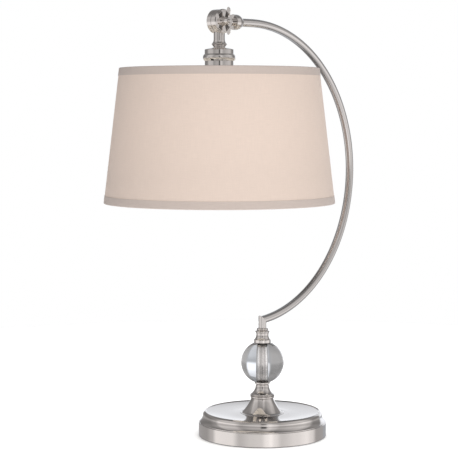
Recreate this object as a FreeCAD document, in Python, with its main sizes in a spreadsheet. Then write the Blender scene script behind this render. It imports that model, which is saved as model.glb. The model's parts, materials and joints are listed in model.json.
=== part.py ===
import FreeCAD, Part
import math
import os

import Sketcher

# Downbridge table lamp with a crystal ball, in millimetres, +Z up.
# The origin is the centre of the base where the felt meets the table. The bowed arm lies in the
# XZ plane, bulging towards +X, and the shade hangs on the -X side from a swivel knuckle whose
# screw runs along Y, with the wing nut on the -Y side.

SHEET = "Dimensions"

# alias, value in mm (or degrees), what it is
DIMENSIONS = [
    ("base_radius", 101.6, "base rim, outer radius"),
    ("rim_foot", 1.0, "lower edge of the base rim"),
    ("rim_top", 21.9, "upper edge of the base rim"),
    ("shell_wall", 1.5, "wall of the spun base cover"),
    ("cove_foot_radius", 99.9, "cove, radius at its foot"),
    ("cove_head_radius", 94.9, "cove, radius at its head"),
    ("cove_head", 32.2, "cove, height of its head"),
    ("lip_radius", 91.6, "top lip, radius"),
    ("lip_top", 38.9, "top lip, height"),
    ("deck_radius", 38.0, "flat middle of the dished deck, radius"),
    ("deck_top", 36.2, "flat middle of the dished deck, height"),
    ("felt_radius", 99.5, "felt pad, radius"),
    ("felt_top", 2.5, "felt pad, thickness"),
    ("weight_radius", 98.0, "iron weight, radius"),
    ("weight_top", 14.0, "iron weight, height of its plate"),
    ("weight_hub_radius", 18.0, "iron weight, hub radius"),
    ("recess_radius", 24.0, "nut recess under the weight, radius"),
    ("recess_top", 11.0, "nut recess under the weight, height"),
    ("channel_width", 10.0, "lead channel through the weight, width"),
    ("inlet_height", 10.5, "lead inlet in the rim, height of its axis"),
    ("inlet_bore", 3.4, "inlet bush, bore radius"),
    ("inlet_neck", 4.9, "inlet bush, neck radius"),
    ("inlet_flange", 6.5, "inlet bush, flange radius"),
    ("pipe_radius", 5.0, "threaded pipe, radius"),
    ("pipe_bore", 3.5, "threaded pipe, bore radius"),
    ("pipe_foot", 4.0, "threaded pipe, lower end"),
    ("pipe_top", 178.0, "threaded pipe, upper end"),
    ("clear_bore", 5.3, "clearance hole for the threaded pipe, radius"),
    ("thread_bore", 5.05, "threaded hole for the pipe, radius"),
    ("bell_radius", 35.5, "neck bell, foot radius"),
    ("bell_top", 60.3, "neck bell, height of its top"),
    ("bell_top_radius", 17.6, "neck bell, top radius"),
    ("ring_top", 66.2, "neck ring, height of its top"),
    ("ring_radius", 19.7, "neck ring, radius"),
    ("flare_top", 80.8, "neck flare, height of its top"),
    ("flare_foot_radius", 18.0, "neck flare, foot radius"),
    ("flare_top_radius", 10.7, "neck flare, top radius"),
    ("seat_radius", 12.3, "ball seat, radius"),
    ("ball_radius", 34.0, "crystal ball, radius"),
    ("ball_height", 117.5, "crystal ball, height of its centre"),
    ("ball_gap", 0.05, "gap between the ball and its seats"),
    ("ball_bore", 6.7, "crystal ball, bore radius"),
    ("sleeve_radius", 6.5, "sleeve inside the ball, radius"),
    ("cap_radius", 13.5, "ball cap, radius"),
    ("cap_neck_radius", 9.8, "ball cap, neck radius"),
    ("cap_top", 164.9, "ball cap, height of its top"),
    ("cap_ring_top", 168.3, "cap ring, height of its top"),
    ("collar_top", 172.4, "post collar, height of its top"),
    ("tube_radius", 6.35, "arm and post tube, outer radius"),
    ("tube_bore", 5.35, "arm tube, bore radius"),
    ("arm_bend_radius", 234.5, "arm, bend radius of its centre line"),
    ("arm_centre_x", 25.2, "arm, how far its bend centre lies on the shade side"),
    ("arm_centre_height", 418.5, "arm, height of its bend centre"),
    ("arm_straight", 38.8, "arm, straight run after the bend"),
    ("pivot_reach", 95.8, "shade axis and knuckle, distance from the base axis"),
    ("knuckle_radius", 18.5, "knuckle, radius"),
    ("knuckle_half", 10.5, "knuckle, half thickness"),
    ("knuckle_gap", 0.25, "half the gap between the knuckle halves"),
    ("knuckle_clear", 18.9, "swing clearance round the other knuckle half, radius"),
    ("lead_way_inner", 5.0, "lead way round the pivot, inner radius"),
    ("lead_way_outer", 10.5, "lead way round the pivot, outer radius"),
    ("lead_way_depth", 6.0, "lead way round the pivot, depth from the middle"),
    ("screw_radius", 3.0, "pivot screw, radius"),
    ("screw_bore", 3.05, "pivot screw holes, radius"),
    ("screw_tip", 24.6, "pivot screw, tip from the knuckle's middle"),
    ("spigot_radius", 6.0, "knuckle spigot, radius"),
    ("ferrule_face", 28.2, "ferrule, flat face from the pivot"),
    ("ferrule_end", 46.5, "ferrule, tube end from the pivot"),
    ("ferrule_radius", 11.7, "ferrule, largest radius"),
    ("pin_radius", 1.0, "stop pin, radius"),
    ("pin_circle", 15.9, "stop pin, distance from the pivot"),
    ("slot_half", 1.15, "stop slot, half width"),
    ("slot_depth", 2.2, "stop slot, depth"),
    ("swing_in", 10.0, "shade swing towards the post, degrees"),
    ("swing_out", 45.0, "shade swing away from the post, degrees"),
    ("stem_radius", 8.7, "knuckle stem, radius"),
    ("stem_skirt_radius", 11.8, "knuckle stem, skirt radius"),
    ("stem_foot", 614.5, "knuckle stem, height of its foot"),
    ("husk_top", 613.4, "socket husk, height of its top"),
    ("husk_radius", 22.3, "socket husk, wall radius"),
    ("husk_wall", 0.8, "socket husk, wall thickness"),
    ("husk_foot", 566.0, "socket husk, height of its foot"),
    ("bead_radius", 23.3, "husk bead, radius at its edges"),
    ("bead_curve", 7.0, "husk bead, radius of its section"),
    ("bead_foot", 593.4, "husk bead, height of its lower edge"),
    ("bead_head", 603.0, "husk bead, height of its upper edge"),
    ("socket_radius", 18.6, "lampholder, radius"),
    ("socket_skirt", 20.0, "lampholder, radius of its threaded skirt"),
    ("socket_foot", 552.0, "lampholder, height of its mouth"),
    ("socket_floor", 582.0, "lampholder, inner floor"),
    ("socket_top", 586.0, "lampholder, height of its top"),
    ("shell_bore", 13.5, "lampholder screw shell, inner radius"),
    ("knob_height", 574.0, "switch knob, height of its axis"),
    ("knob_inner", 26.0, "switch knob, inner face from the shade axis"),
    ("knob_outer", 40.0, "switch knob, outer face from the shade axis"),
    ("knob_radius", 6.5, "switch knob, radius"),
    ("shaft_radius", 1.5, "switch shaft, radius"),
    ("fitter_foot", 564.5, "shade fitter ring, height of its lower face"),
    ("fitter_radius", 25.5, "shade fitter ring, outer radius"),
    ("fitter_bore", 20.3, "shade fitter ring, inner radius"),
    ("spoke_radius", 1.6, "spider arm, radius"),
    ("spoke_bend", 118.0, "spider arm, where it turns up"),
    ("spoke_curve", 22.0, "spider arm, radius of its bend"),
    ("wire_radius", 1.5, "shade wire rings, radius of the wire"),
    ("shade_top_radius", 153.3, "shade, outer radius at the top"),
    ("shade_bottom_radius", 177.9, "shade, outer radius at the bottom"),
    ("shade_top", 582.1, "shade, height of its top edge"),
    ("shade_bottom", 375.6, "shade, height of its bottom edge"),
    ("trim_width", 12.0, "shade edge trims, width"),
    ("trim_thick", 0.45, "shade edge trims, thickness"),
    ("trim_inside", 6.0, "shade edge trims, width of the inner fold"),
    ("fabric_thick", 0.8, "shade cover, thickness"),
    ("liner_thick", 0.6, "shade liner, thickness"),
    ("layer_gap", 0.05, "gap between the shade's layers"),
    ("bulb_radius", 30.0, "bulb, radius of its globe"),
    ("bulb_centre", 503.0, "bulb, height of the globe's centre"),
    ("bulb_wall", 0.8, "bulb glass, thickness"),
    ("bulb_cap_foot", 553.0, "bulb cap, height of its lower edge"),
    ("bulb_cap_top", 577.0, "bulb cap, height of its upper edge"),
    ("bulb_cap_radius", 13.1, "bulb cap, thread crest radius"),
]


class Size:
    """A length held with the spreadsheet expression that gives it."""

    def __init__(self, value, text):
        self.value = value
        self.text = text

    def __add__(self, other):
        other = as_size(other)
        return Size(self.value + other.value, f"({self.text} + {other.text})")

    def __radd__(self, other):
        return as_size(other) + self

    def __sub__(self, other):
        other = as_size(other)
        return Size(self.value - other.value, f"({self.text} - {other.text})")

    def __rsub__(self, other):
        return as_size(other) - self

    def __mul__(self, factor):
        return Size(self.value * factor, f"({self.text} * {factor:.9f})")

    def __neg__(self):
        return self * -1


def as_size(number):
    return number if isinstance(number, Size) else Size(float(number), f"{number:.9f}")


def root_of_squares(long_side, short_side):
    """The third side of a right triangle, from its longest side and one other."""
    value = math.sqrt(long_side.value ** 2 - short_side.value ** 2)
    return Size(value, f"sqrt({long_side.text} ^ 2 - {short_side.text} ^ 2)")


class Sheet:
    """The document's spreadsheet. Each alias reads as an attribute that holds a Size."""

    def __init__(self, document):
        cells = document.addObject("Spreadsheet::Sheet", SHEET)
        for row, (alias, value, note) in enumerate(DIMENSIONS, start=1):
            cells.set(f"A{row}", alias)
            cells.set(f"B{row}", str(value))
            cells.set(f"C{row}", note)
            cells.setAlias(f"B{row}", alias)
            setattr(self, alias, Size(value, f"{SHEET}.{alias}"))


doc = FreeCAD.newDocument("TableLamp")
S = Sheet(doc)
doc.recompute()

X_AXIS = FreeCAD.Vector(1, 0, 0)
Y_AXIS = FreeCAD.Vector(0, 1, 0)
Z_AXIS = FreeCAD.Vector(0, 0, 1)

NO_TURN = FreeCAD.Rotation()
PIVOT_TURN = FreeCAD.Rotation(X_AXIS, 90)    # a piece's own Z points along -Y, out through the wing nut
ARM_TURN = FreeCAD.Rotation(Y_AXIS, 90)      # a piece's own Z points along +X, along the arm's end
KNOB_TURN = FreeCAD.Rotation(Y_AXIS, -90)    # a piece's own Z points along -X, out through the knob

PIVOT_HEIGHT = S.arm_centre_height + S.arm_bend_radius
BASE_PLACE = (as_size(0), as_size(0), as_size(0))
SHADE_PLACE = (-S.pivot_reach, as_size(0), as_size(0))
PIVOT_PLACE = (-S.pivot_reach, as_size(0), PIVOT_HEIGHT)
KNOB_PLACE = (-S.pivot_reach, as_size(0), S.knob_height)

sub_parts = []


# ---- document helpers -------------------------------------------------------------------------

def bind(item, path, size):
    """Bind one property or constraint to the spreadsheet."""
    item.setExpression(path, as_size(size).text)


def place(item, where, turn=NO_TURN):
    base = FreeCAD.Vector(*[size.value for size in where])
    item.Placement = FreeCAD.Placement(base, turn)
    for letter, size in zip("xyz", where):
        bind(item, f"Placement.Base.{letter}", size)


def keep(item, where=BASE_PLACE, turn=NO_TURN):
    """Place a finished sub-part and put it on the list that is written out."""
    place(item, where, turn)
    sub_parts.append(item)
    return item


def new_body(label):
    body = doc.addObject("PartDesign::Body", label)
    body.Label = label
    return body


def new_sketch(body, name, role, offset=None):
    """A sketch on one of the body's own origin planes, moved along its normal by offset."""
    plane = [item for item in body.Origin.OriginFeatures if item.Role == role][0]
    sketch = body.newObject("Sketcher::SketchObject", name)
    sketch.AttachmentSupport = (plane, [""])
    sketch.MapMode = "FlatFace"
    if offset is not None:
        bind(sketch, "AttachmentOffset.Base.z", offset)
    return sketch


def fix_point(sketch, geometry, end, point, name):
    """Hold a point of the sketch at its two distances from the sketch's origin."""
    for kind, axis, size in (("DistanceX", -2, point[0]), ("DistanceY", -1, point[1])):
        if abs(size.value) < 1e-9:
            sketch.addConstraint(Sketcher.Constraint("PointOnObject", geometry, end, axis))
            continue
        index = sketch.addConstraint(Sketcher.Constraint(kind, -1, 1, geometry, end, size.value))
        label = f"{name}_{kind[-1].lower()}"
        sketch.renameConstraint(index, label)
        bind(sketch, f"Constraints.{label}", size)


def fix_radius(sketch, geometry, radius, label):
    index = sketch.addConstraint(Sketcher.Constraint("Radius", geometry, radius.value))
    sketch.renameConstraint(index, label)
    bind(sketch, f"Constraints.{label}", radius)


def short_arc(start, stop, radius):
    """The shorter arc between two points, run anticlockwise as a sketch needs it."""
    chord = stop - start
    left = FreeCAD.Vector(-chord.y, chord.x, 0).normalize()
    reach = math.sqrt(radius ** 2 - chord.Length ** 2 / 4)
    centre = (start + stop) / 2 + left * math.copysign(reach, radius)
    ends = (start, stop) if radius > 0 else (stop, start)
    first, last = [math.atan2(end.y - centre.y, end.x - centre.x) for end in ends]
    if last < first:
        last += 2 * math.pi
    return Part.ArcOfCircle(Part.Circle(centre, Z_AXIS, abs(radius)), first, last)


def outline(sketch, points):
    """A closed outline. Each point is (across, up) or (across, up, radius of the arc to it).

    A positive radius has its centre on the left of the way round, a negative one on the right.
    """
    corners = [(as_size(p[0]), as_size(p[1])) for p in points]
    vectors = [FreeCAD.Vector(c[0].value, c[1].value, 0) for c in corners]
    spans = []
    for number in range(len(points)):
        last = (number + 1) % len(points)
        start, stop = vectors[number], vectors[last]
        if len(points[last]) == 2:
            geometry = sketch.addGeometry(Part.LineSegment(start, stop))
            spans.append((geometry, 1, 2))
            continue
        radius = as_size(points[last][2])
        geometry = sketch.addGeometry(short_arc(start, stop, radius.value))
        spans.append((geometry, 1, 2) if radius.value > 0 else (geometry, 2, 1))
        fix_radius(sketch, geometry, radius if radius.value > 0 else -radius, f"bend_{last}")
    for number, (geometry, start_end, stop_end) in enumerate(spans):
        before, _, before_end = spans[number - 1]
        sketch.addConstraint(
            Sketcher.Constraint("Coincident", before, before_end, geometry, start_end))
        fix_point(sketch, geometry, start_end, corners[number], f"p{number}")


def circle(sketch, radius, across=0, up=0, name="ring"):
    centre = (as_size(across), as_size(up))
    radius = as_size(radius)
    middle = FreeCAD.Vector(centre[0].value, centre[1].value, 0)
    geometry = sketch.addGeometry(Part.Circle(middle, Z_AXIS, radius.value))
    fix_radius(sketch, geometry, radius, f"{name}_radius")
    fix_point(sketch, geometry, 3, centre, name)


def hexagon(sketch, across_flats):
    corner = across_flats / math.sqrt(3)
    angles = [math.radians(60 * step) for step in range(6)]
    outline(sketch, [(corner * math.cos(a), corner * math.sin(a)) for a in angles])


def revolve(body, sketch, axis="V_Axis", angle=360, name="Turned", kind="Revolution"):
    feature = body.newObject(f"PartDesign::{kind}", name)
    feature.Profile = sketch
    feature.ReferenceAxis = (sketch, [axis])
    feature.Angle = angle
    return feature


def pad(body, sketch, length, name="Pad", backwards=False, both_ways=False):
    feature = body.newObject("PartDesign::Pad", name)
    feature.Profile = sketch
    bind(feature, "Length", length)
    feature.Reversed = backwards
    feature.Midplane = both_ways
    return feature


def pocket(body, sketch, length, name="Pocket", backwards=False, both_ways=False):
    """A pocket that has to take material away."""
    doc.recompute()
    before = body.Shape.Volume
    feature = body.newObject("PartDesign::Pocket", name)
    feature.Profile = sketch
    bind(feature, "Length", length)
    feature.Reversed = backwards
    feature.Midplane = both_ways
    check_cut(body, before, name)
    return feature


def groove(body, sketch, axis="V_Axis", name="Groove"):
    """A full-turn groove that has to take material away."""
    doc.recompute()
    before = body.Shape.Volume
    feature = revolve(body, sketch, axis, 360, name, "Groove")
    check_cut(body, before, name)
    return feature


def dome_radius(reach, rise):
    """The radius of a dome that rises by rise over its middle and is reach wide from there."""
    return (reach ** 2 + rise ** 2) / (2 * rise)


def check_cut(body, before, name):
    doc.recompute()
    if body.Shape.Volume >= before - 1e-3:
        raise RuntimeError(f"{body.Label}: {name} took nothing away")


def turned(label, points, where=BASE_PLACE, turn=NO_TURN):
    """A piece turned on a lathe about its own Z axis, from an outline in (radius, height)."""
    body = new_body(label)
    sketch = new_sketch(body, f"{label}_outline", "XZ_Plane")
    outline(sketch, points)
    revolve(body, sketch)
    return keep(body, where, turn)


def ring_section(inner, outer, foot, top):
    return [(outer, foot), (outer, top), (inner, top), (inner, foot)]


# ---- base and neck ----------------------------------------------------------------------------

def make_base_shell():
    """The spun cover: upright rim, cove, round lip and a shallow dished deck."""
    inner_rim = S.base_radius - S.shell_wall
    under_deck = S.deck_top - S.shell_wall
    body = turned("base_shell", [
        (S.base_radius, S.rim_foot),
        (S.base_radius, S.rim_top - 0.7),
        (S.base_radius - 0.7, S.rim_top, 0.7),
        (S.cove_foot_radius, S.rim_top),
        (S.cove_foot_radius, S.rim_top + 1.0),
        (S.cove_head_radius, S.cove_head, -14),
        (S.cove_head_radius, S.cove_head + 0.8),
        (S.lip_radius, S.lip_top, 6),
        (S.lip_radius - 1.4, S.lip_top, 0.9),
        (S.lip_radius - 2.7, S.lip_top - 0.9),
        (S.deck_radius, S.deck_top, -300),
        (S.clear_bore, S.deck_top),
        (S.clear_bore, under_deck),
        (S.deck_radius, under_deck),
        (S.lip_radius - 3.4, S.lip_top - 2.6, 290),
        (S.lip_radius - 0.6, S.lip_top - 2.9),
        (S.cove_head_radius - 2.3, S.cove_head),
        (S.cove_foot_radius - 2.5, S.rim_top),
        (inner_rim, S.rim_top - 1.6),
        (inner_rim, S.rim_foot),
    ])
    hole = new_sketch(body, "inlet_hole", "YZ_Plane", inner_rim - 1.5)
    circle(hole, S.inlet_neck + 0.05, 0, S.inlet_height)
    pocket(body, hole, as_size(5), "InletHole", backwards=True)


def make_base_weight():
    """The iron casting: a plate, a hub under the deck, a nut recess and a lead channel."""
    body = turned("base_weight", [
        (S.weight_radius, S.felt_top),
        (S.weight_radius, S.weight_top),
        (S.weight_hub_radius + 3, S.weight_top),
        (S.weight_hub_radius, S.weight_top + 3, -3),
        (S.weight_hub_radius, S.deck_top - S.shell_wall),
        (S.clear_bore, S.deck_top - S.shell_wall),
        (S.clear_bore, S.recess_top),
        (S.recess_radius, S.recess_top),
        (S.recess_radius, S.felt_top),
    ])
    channel = new_sketch(body, "lead_channel", "XY_Plane", S.felt_top)
    half = S.channel_width * 0.5
    outline(channel, [
        (S.recess_radius - 2, -half),
        (S.weight_radius + 2, -half),
        (S.weight_radius + 2, half),
        (S.recess_radius - 2, half),
    ])
    pocket(body, channel, S.weight_top - S.felt_top + 0.5, "LeadChannel", backwards=True)


def make_base_felt():
    turned("base_felt", [
        (0, 0),
        (S.felt_radius - 0.6, 0),
        (S.felt_radius, 0.6),
        (S.felt_radius, S.felt_top),
        (0, S.felt_top),
    ])


def make_base_clamp():
    """Washer and nut that pull the whole stack down onto the weight."""
    turned("base_washer", ring_section(S.clear_bore, 14, S.recess_top - 1.5, S.recess_top))
    hex_nut("base_nut", 17, S.pipe_foot + 0.5, S.recess_top - 1.5, BASE_PLACE)


def hex_nut(label, across_flats, foot, top, where):
    body = new_body(label)
    flats = new_sketch(body, f"{label}_flats", "XY_Plane", foot)
    hexagon(flats, across_flats)
    pad(body, flats, top - foot, "Hexagon")
    hole = new_sketch(body, f"{label}_hole", "XY_Plane", foot)
    circle(hole, S.thread_bore)
    pocket(body, hole, top - foot, "Thread", backwards=True)
    keep(body, where)


def make_threaded_pipe():
    turned("threaded_pipe", ring_section(S.pipe_bore, S.pipe_radius, S.pipe_foot, S.pipe_top))


def make_inlet_bush():
    """The bush that lines the lead inlet in the rim, on the side away from the shade."""
    outside = S.base_radius
    inside = S.base_radius - S.shell_wall
    turned("cord_inlet_bush", [
        (S.inlet_bore, inside - 1.2),
        (S.inlet_neck + 1.0, inside - 1.2),
        (S.inlet_neck + 1.0, inside - 0.3),
        (S.inlet_neck, inside - 0.3),
        (S.inlet_neck, outside + 0.1),
        (S.inlet_flange, outside + 0.1),
        (S.inlet_flange, outside + 0.7),
        (S.inlet_bore + 0.8, outside + 1.9, 4),
        (S.inlet_bore, outside + 1.1, 0.8),
    ], (as_size(0), as_size(0), S.inlet_height), ARM_TURN)


def make_neck_bell():
    turned("neck_bell", [
        (S.bell_radius, S.deck_top),
        (S.bell_radius, S.deck_top + 0.7),
        (S.bell_radius - 4.9, S.deck_top + 2.7, -6),
        (S.bell_top_radius + 3.0, S.bell_top - 6.8, -90),
        (S.bell_top_radius, S.bell_top, -30),
        (S.clear_bore, S.bell_top),
        (S.clear_bore, S.bell_top - 4.3),
        (S.bell_top_radius - 3.6, S.bell_top - 4.3),
        (S.bell_radius - 4.0, S.deck_top),
    ])


def make_neck_ring():
    turned("neck_ring", [
        (S.flare_foot_radius, S.bell_top),
        (S.ring_radius - 0.7, S.bell_top + 1.9, 1.6),
        (S.ring_radius, S.ring_top - 1.0, -6),
        (S.ring_radius - 0.8, S.ring_top, 0.75),
        (S.clear_bore, S.ring_top),
        (S.clear_bore, S.bell_top),
    ])


def make_neck_flare():
    turned("neck_flare", [
        (S.flare_foot_radius, S.ring_top),
        (S.flare_foot_radius, S.ring_top + 0.8),
        (S.flare_foot_radius - 0.8, S.ring_top + 1.4),
        (S.flare_top_radius, S.flare_top - 1.2, -17),
        (S.flare_top_radius, S.flare_top),
        (S.clear_bore, S.flare_top),
        (S.clear_bore, S.ring_top),
    ])


def make_ball_seat():
    """A shallow cup that the ball stands in. Its top follows the ball."""
    cup = S.ball_radius + S.ball_gap
    edge = S.seat_radius - 0.5
    step = S.ball_bore - 0.1
    edge_height = S.ball_height - root_of_squares(cup, edge)
    step_height = S.ball_height - root_of_squares(cup, step)
    turned("ball_seat", [
        (S.flare_top_radius - 0.8, S.flare_top),
        (S.flare_top_radius - 0.8, S.flare_top + 0.5),
        (S.seat_radius - 0.1, S.flare_top + 2.6, -2.6),
        (S.seat_radius, edge_height - 0.5),
        (edge, edge_height, 0.55),
        (step, step_height, -cup),
        (S.clear_bore, step_height),
        (S.clear_bore, S.flare_top),
    ])


def make_crystal_ball():
    """A glass sphere bored right through for the sleeve."""
    half_bore = root_of_squares(S.ball_radius, S.ball_bore)
    equator = (S.ball_radius, S.ball_height, S.ball_radius)
    turned("crystal_ball", [
        (S.ball_bore, S.ball_height - half_bore),
        equator,
        (S.ball_bore, S.ball_height + half_bore, S.ball_radius),
    ])


def make_ball_sleeve():
    half = root_of_squares(S.ball_radius, S.ball_bore)
    turned("ball_sleeve", ring_section(
        S.clear_bore, S.sleeve_radius, S.ball_height - half + 0.1, S.ball_height + half - 0.1))


def make_ball_cap():
    """The cap over the ball. Its foot follows the ball, and its neck is drawn in."""
    cup = S.ball_radius + S.ball_gap
    edge = S.cap_radius - 0.6
    step = S.ball_bore - 0.1
    edge_height = S.ball_height + root_of_squares(cup, edge)
    step_height = S.ball_height + root_of_squares(cup, step)
    turned("ball_cap", [
        (S.clear_bore, step_height),
        (step, step_height),
        (edge, edge_height, -cup),
        (S.cap_radius, edge_height + 0.6, 0.62),
        (S.cap_radius, edge_height + 4.6),
        (S.cap_radius - 0.7, edge_height + 5.3, 0.72),
        (S.cap_radius - 1.3, edge_height + 5.9),
        (S.cap_neck_radius, S.cap_top - 3.4, -12),
        (S.cap_neck_radius + 0.6, S.cap_top, -14),
        (S.clear_bore, S.cap_top),
    ])


def bead_section(edge, curve, foot, top):
    """A half-round bead between foot and top, down to the pipe's clearance hole."""
    return [(S.clear_bore, foot), (edge, foot), (edge, top, curve), (S.clear_bore, top)]


def make_post_rings():
    turned("cap_ring", bead_section(as_size(10.4), 1.8, S.cap_top, S.cap_ring_top))
    turned("post_collar", [
        (S.clear_bore, S.cap_ring_top),
        (8.6, S.cap_ring_top),
        (8.6, S.cap_ring_top + 0.7),
        (8.6, S.collar_top - 0.6, 1.5),
        (8.6, S.collar_top),
        (S.clear_bore, S.collar_top),
    ])


# ---- arm --------------------------------------------------------------------------------------

def mitre():
    """Where the post and the arm's centre lines meet, and the way that the arm sets off."""
    drop = root_of_squares(S.arm_bend_radius, S.arm_centre_x)
    corner = S.arm_centre_height - drop
    climb = math.asin(S.arm_centre_x.value / S.arm_bend_radius.value)
    return drop, corner, climb


MITRE_REACH = 30


def mitre_box(corner_x, corner_z, climb, side):
    """A square block with one face on the mitre plane; side is +1 above the plane, -1 below."""
    lean = math.radians(45) + climb / 2
    along = (-math.cos(lean) * MITRE_REACH, math.sin(lean) * MITRE_REACH)
    over = (side * math.sin(lean) * MITRE_REACH, side * math.cos(lean) * MITRE_REACH)
    steps = [(-1, 0), (1, 0), (1, 1), (-1, 1)]
    return [
        (corner_x + along[0] * a + over[0] * b, corner_z + along[1] * a + over[1] * b)
        for a, b in steps
    ]


def make_arm_post():
    """The short upright tube. It screws onto the pipe, and its top is cut to the mitre."""
    _, corner, climb = mitre()
    body = turned("arm_post", ring_section(
        S.thread_bore, S.tube_radius, S.collar_top, corner + 12))
    cut = new_sketch(body, "post_mitre", "XZ_Plane")
    outline(cut, mitre_box(as_size(0), corner, climb, 1))
    pocket(body, cut, as_size(4 * MITRE_REACH), "PostMitre", both_ways=True)


def make_arm_tube():
    """The bowed tube: a bend of just under half a turn, then a short level run to the ferrule."""
    drop, _, climb = mitre()
    body = new_body("arm_tube")
    section = new_sketch(body, "arm_section", "YZ_Plane")
    circle(section, S.tube_radius, 0, S.arm_bend_radius, "outer")
    circle(section, S.tube_bore, 0, S.arm_bend_radius, "inner")
    sweep = 180 - math.degrees(climb) + 4
    revolve(body, section, "H_Axis", sweep, "Bend")
    end = new_sketch(body, "arm_end", "YZ_Plane")
    circle(end, S.tube_radius, 0, S.arm_bend_radius, "outer")
    circle(end, S.tube_bore, 0, S.arm_bend_radius, "inner")
    pad(body, end, S.arm_straight, "Level", backwards=True)
    cut = new_sketch(body, "arm_mitre", "XZ_Plane")
    outline(cut, mitre_box(S.arm_centre_x, -drop, climb, -1))
    pocket(body, cut, as_size(4 * MITRE_REACH), "ArmMitre", both_ways=True)
    keep(body, (-S.arm_centre_x, as_size(0), S.arm_centre_height))


def make_arm_ferrule():
    """The domed collar that joins the arm tube to the knuckle's spigot."""
    tube_end = S.pivot_reach - S.arm_centre_x - S.arm_straight
    turned("arm_ferrule", [
        (S.thread_bore, S.ferrule_face),
        (S.ferrule_radius - 0.9, S.ferrule_face),
        (S.ferrule_radius, S.ferrule_face + 0.9, 0.9),
        (S.ferrule_radius, S.ferrule_face + 4.0),
        (S.tube_radius + 1.4, S.ferrule_end - 1.6, 16),
        (S.tube_radius + 0.3, S.ferrule_end, -2.6),
        (S.tube_radius + 0.05, S.ferrule_end),
        (S.tube_radius + 0.05, tube_end),
        (S.thread_bore, tube_end),
    ], PIVOT_PLACE, ARM_TURN)


# ---- knuckle ----------------------------------------------------------------------------------

def knuckle_outline(side):
    """Half of the knuckle drum; side is +1 towards the wing nut, -1 away from it."""
    face = S.knuckle_half * side
    points = [
        (S.screw_bore, S.knuckle_gap * side),
        (S.lead_way_inner, S.knuckle_gap * side),
        (S.lead_way_inner, S.lead_way_depth * side),
        (S.lead_way_outer, S.lead_way_depth * side),
        (S.lead_way_outer, S.knuckle_gap * side),
        (S.knuckle_radius, S.knuckle_gap * side),
        (S.knuckle_radius, face - 1.7 * side),
        (S.knuckle_radius - 1.2, face - 0.5 * side),
        (S.knuckle_radius - 3.0, face - 0.5 * side),
        (S.knuckle_radius - 3.4, face),
        (S.screw_bore, face),
    ]
    return points if side > 0 else points[::-1]


def make_knuckle_rear_half():
    """The half on the arm, with a spigot that screws through the ferrule into the tube."""
    body = new_body("knuckle_rear_half")
    drum = new_sketch(body, "rear_drum", "XZ_Plane")
    outline(drum, knuckle_outline(-1))
    revolve(body, drum, name="Drum")
    spigot = new_sketch(body, "spigot_outline", "XY_Plane")
    outline(spigot, [
        (S.lead_way_outer + 1, 0),
        (S.ferrule_face + 14, 0),
        (S.ferrule_face + 14, S.pipe_radius),
        (S.ferrule_face, S.pipe_radius),
        (S.ferrule_face, S.spigot_radius),
        (S.lead_way_outer + 1, S.spigot_radius),
    ])
    revolve(body, spigot, "H_Axis", name="Spigot")
    relief = new_sketch(body, "rear_relief", "XZ_Plane")
    outline(relief, ring_section(0, S.knuckle_clear, -S.knuckle_gap, S.knuckle_half))
    groove(body, relief, name="SwingRelief")
    way = new_sketch(body, "rear_lead_way", "XY_Plane")
    outline(way, [
        (S.lead_way_inner + 2, 0),
        (S.ferrule_face + 15, 0),
        (S.ferrule_face + 15, 3),
        (S.lead_way_inner + 2, 3),
    ])
    groove(body, way, "H_Axis", "LeadWay")
    hole = new_sketch(body, "pin_hole", "XY_Plane", -S.knuckle_gap)
    circle(hole, S.pin_radius, 0, S.pin_circle)
    pocket(body, hole, as_size(5), "PinHole")
    keep(body, PIVOT_PLACE, PIVOT_TURN)


def make_knuckle_front_half():
    """The half on the shade, with the stem that carries the lampholder and the stop slot."""
    body = new_body("knuckle_front_half")
    drum = new_sketch(body, "front_drum", "XZ_Plane")
    outline(drum, knuckle_outline(1))
    revolve(body, drum, name="Drum")
    foot = S.stem_foot - PIVOT_HEIGHT
    stem = new_sketch(body, "stem_outline", "XY_Plane")
    outline(stem, [
        (0, foot),
        (S.stem_radius + 0.8, foot),
        (S.stem_radius + 1.3, foot + 0.7),
        (S.stem_skirt_radius, foot + 3.4, -7),
        (S.stem_skirt_radius, foot + 4.2, 0.45),
        (S.stem_radius, foot + 10.5, -11),
        (S.stem_radius, 0 - S.lead_way_outer - 1),
        (0, 0 - S.lead_way_outer - 1),
    ])
    revolve(body, stem, "V_Axis", name="Stem")
    relief = new_sketch(body, "front_relief", "XZ_Plane")
    outline(relief, ring_section(0, S.knuckle_clear, -S.knuckle_half, S.knuckle_gap))
    groove(body, relief, name="SwingRelief")
    way = new_sketch(body, "front_lead_way", "XY_Plane")
    outline(way, [
        (0, foot - 1),
        (S.thread_bore, foot - 1),
        (S.thread_bore, foot + 18),
        (3, foot + 18),
        (3, 0 - S.lead_way_inner - 2),
        (0, 0 - S.lead_way_inner - 2),
    ])
    groove(body, way, "V_Axis", "LeadWay")
    slot = new_sketch(body, "stop_slot", "XY_Plane", S.knuckle_gap)
    outline(slot, stop_slot_outline())
    pocket(body, slot, S.slot_depth, "StopSlot", backwards=True)
    keep(body, PIVOT_PLACE, PIVOT_TURN)


def stop_slot_outline():
    """The curved slot that the stop pin runs in, from one end of the shade's swing to the other."""
    spare = math.degrees((S.pin_radius.value + 0.3) / S.pin_circle.value)
    first = math.radians(90 - S.swing_in.value - spare)
    last = math.radians(90 + S.swing_out.value + spare)
    inner = S.pin_circle - S.slot_half
    outer = S.pin_circle + S.slot_half
    return [
        (inner * math.cos(first), inner * math.sin(first), -inner),
        (outer * math.cos(first), outer * math.sin(first)),
        (outer * math.cos(last), outer * math.sin(last), outer),
        (inner * math.cos(last), inner * math.sin(last)),
    ]


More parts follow.
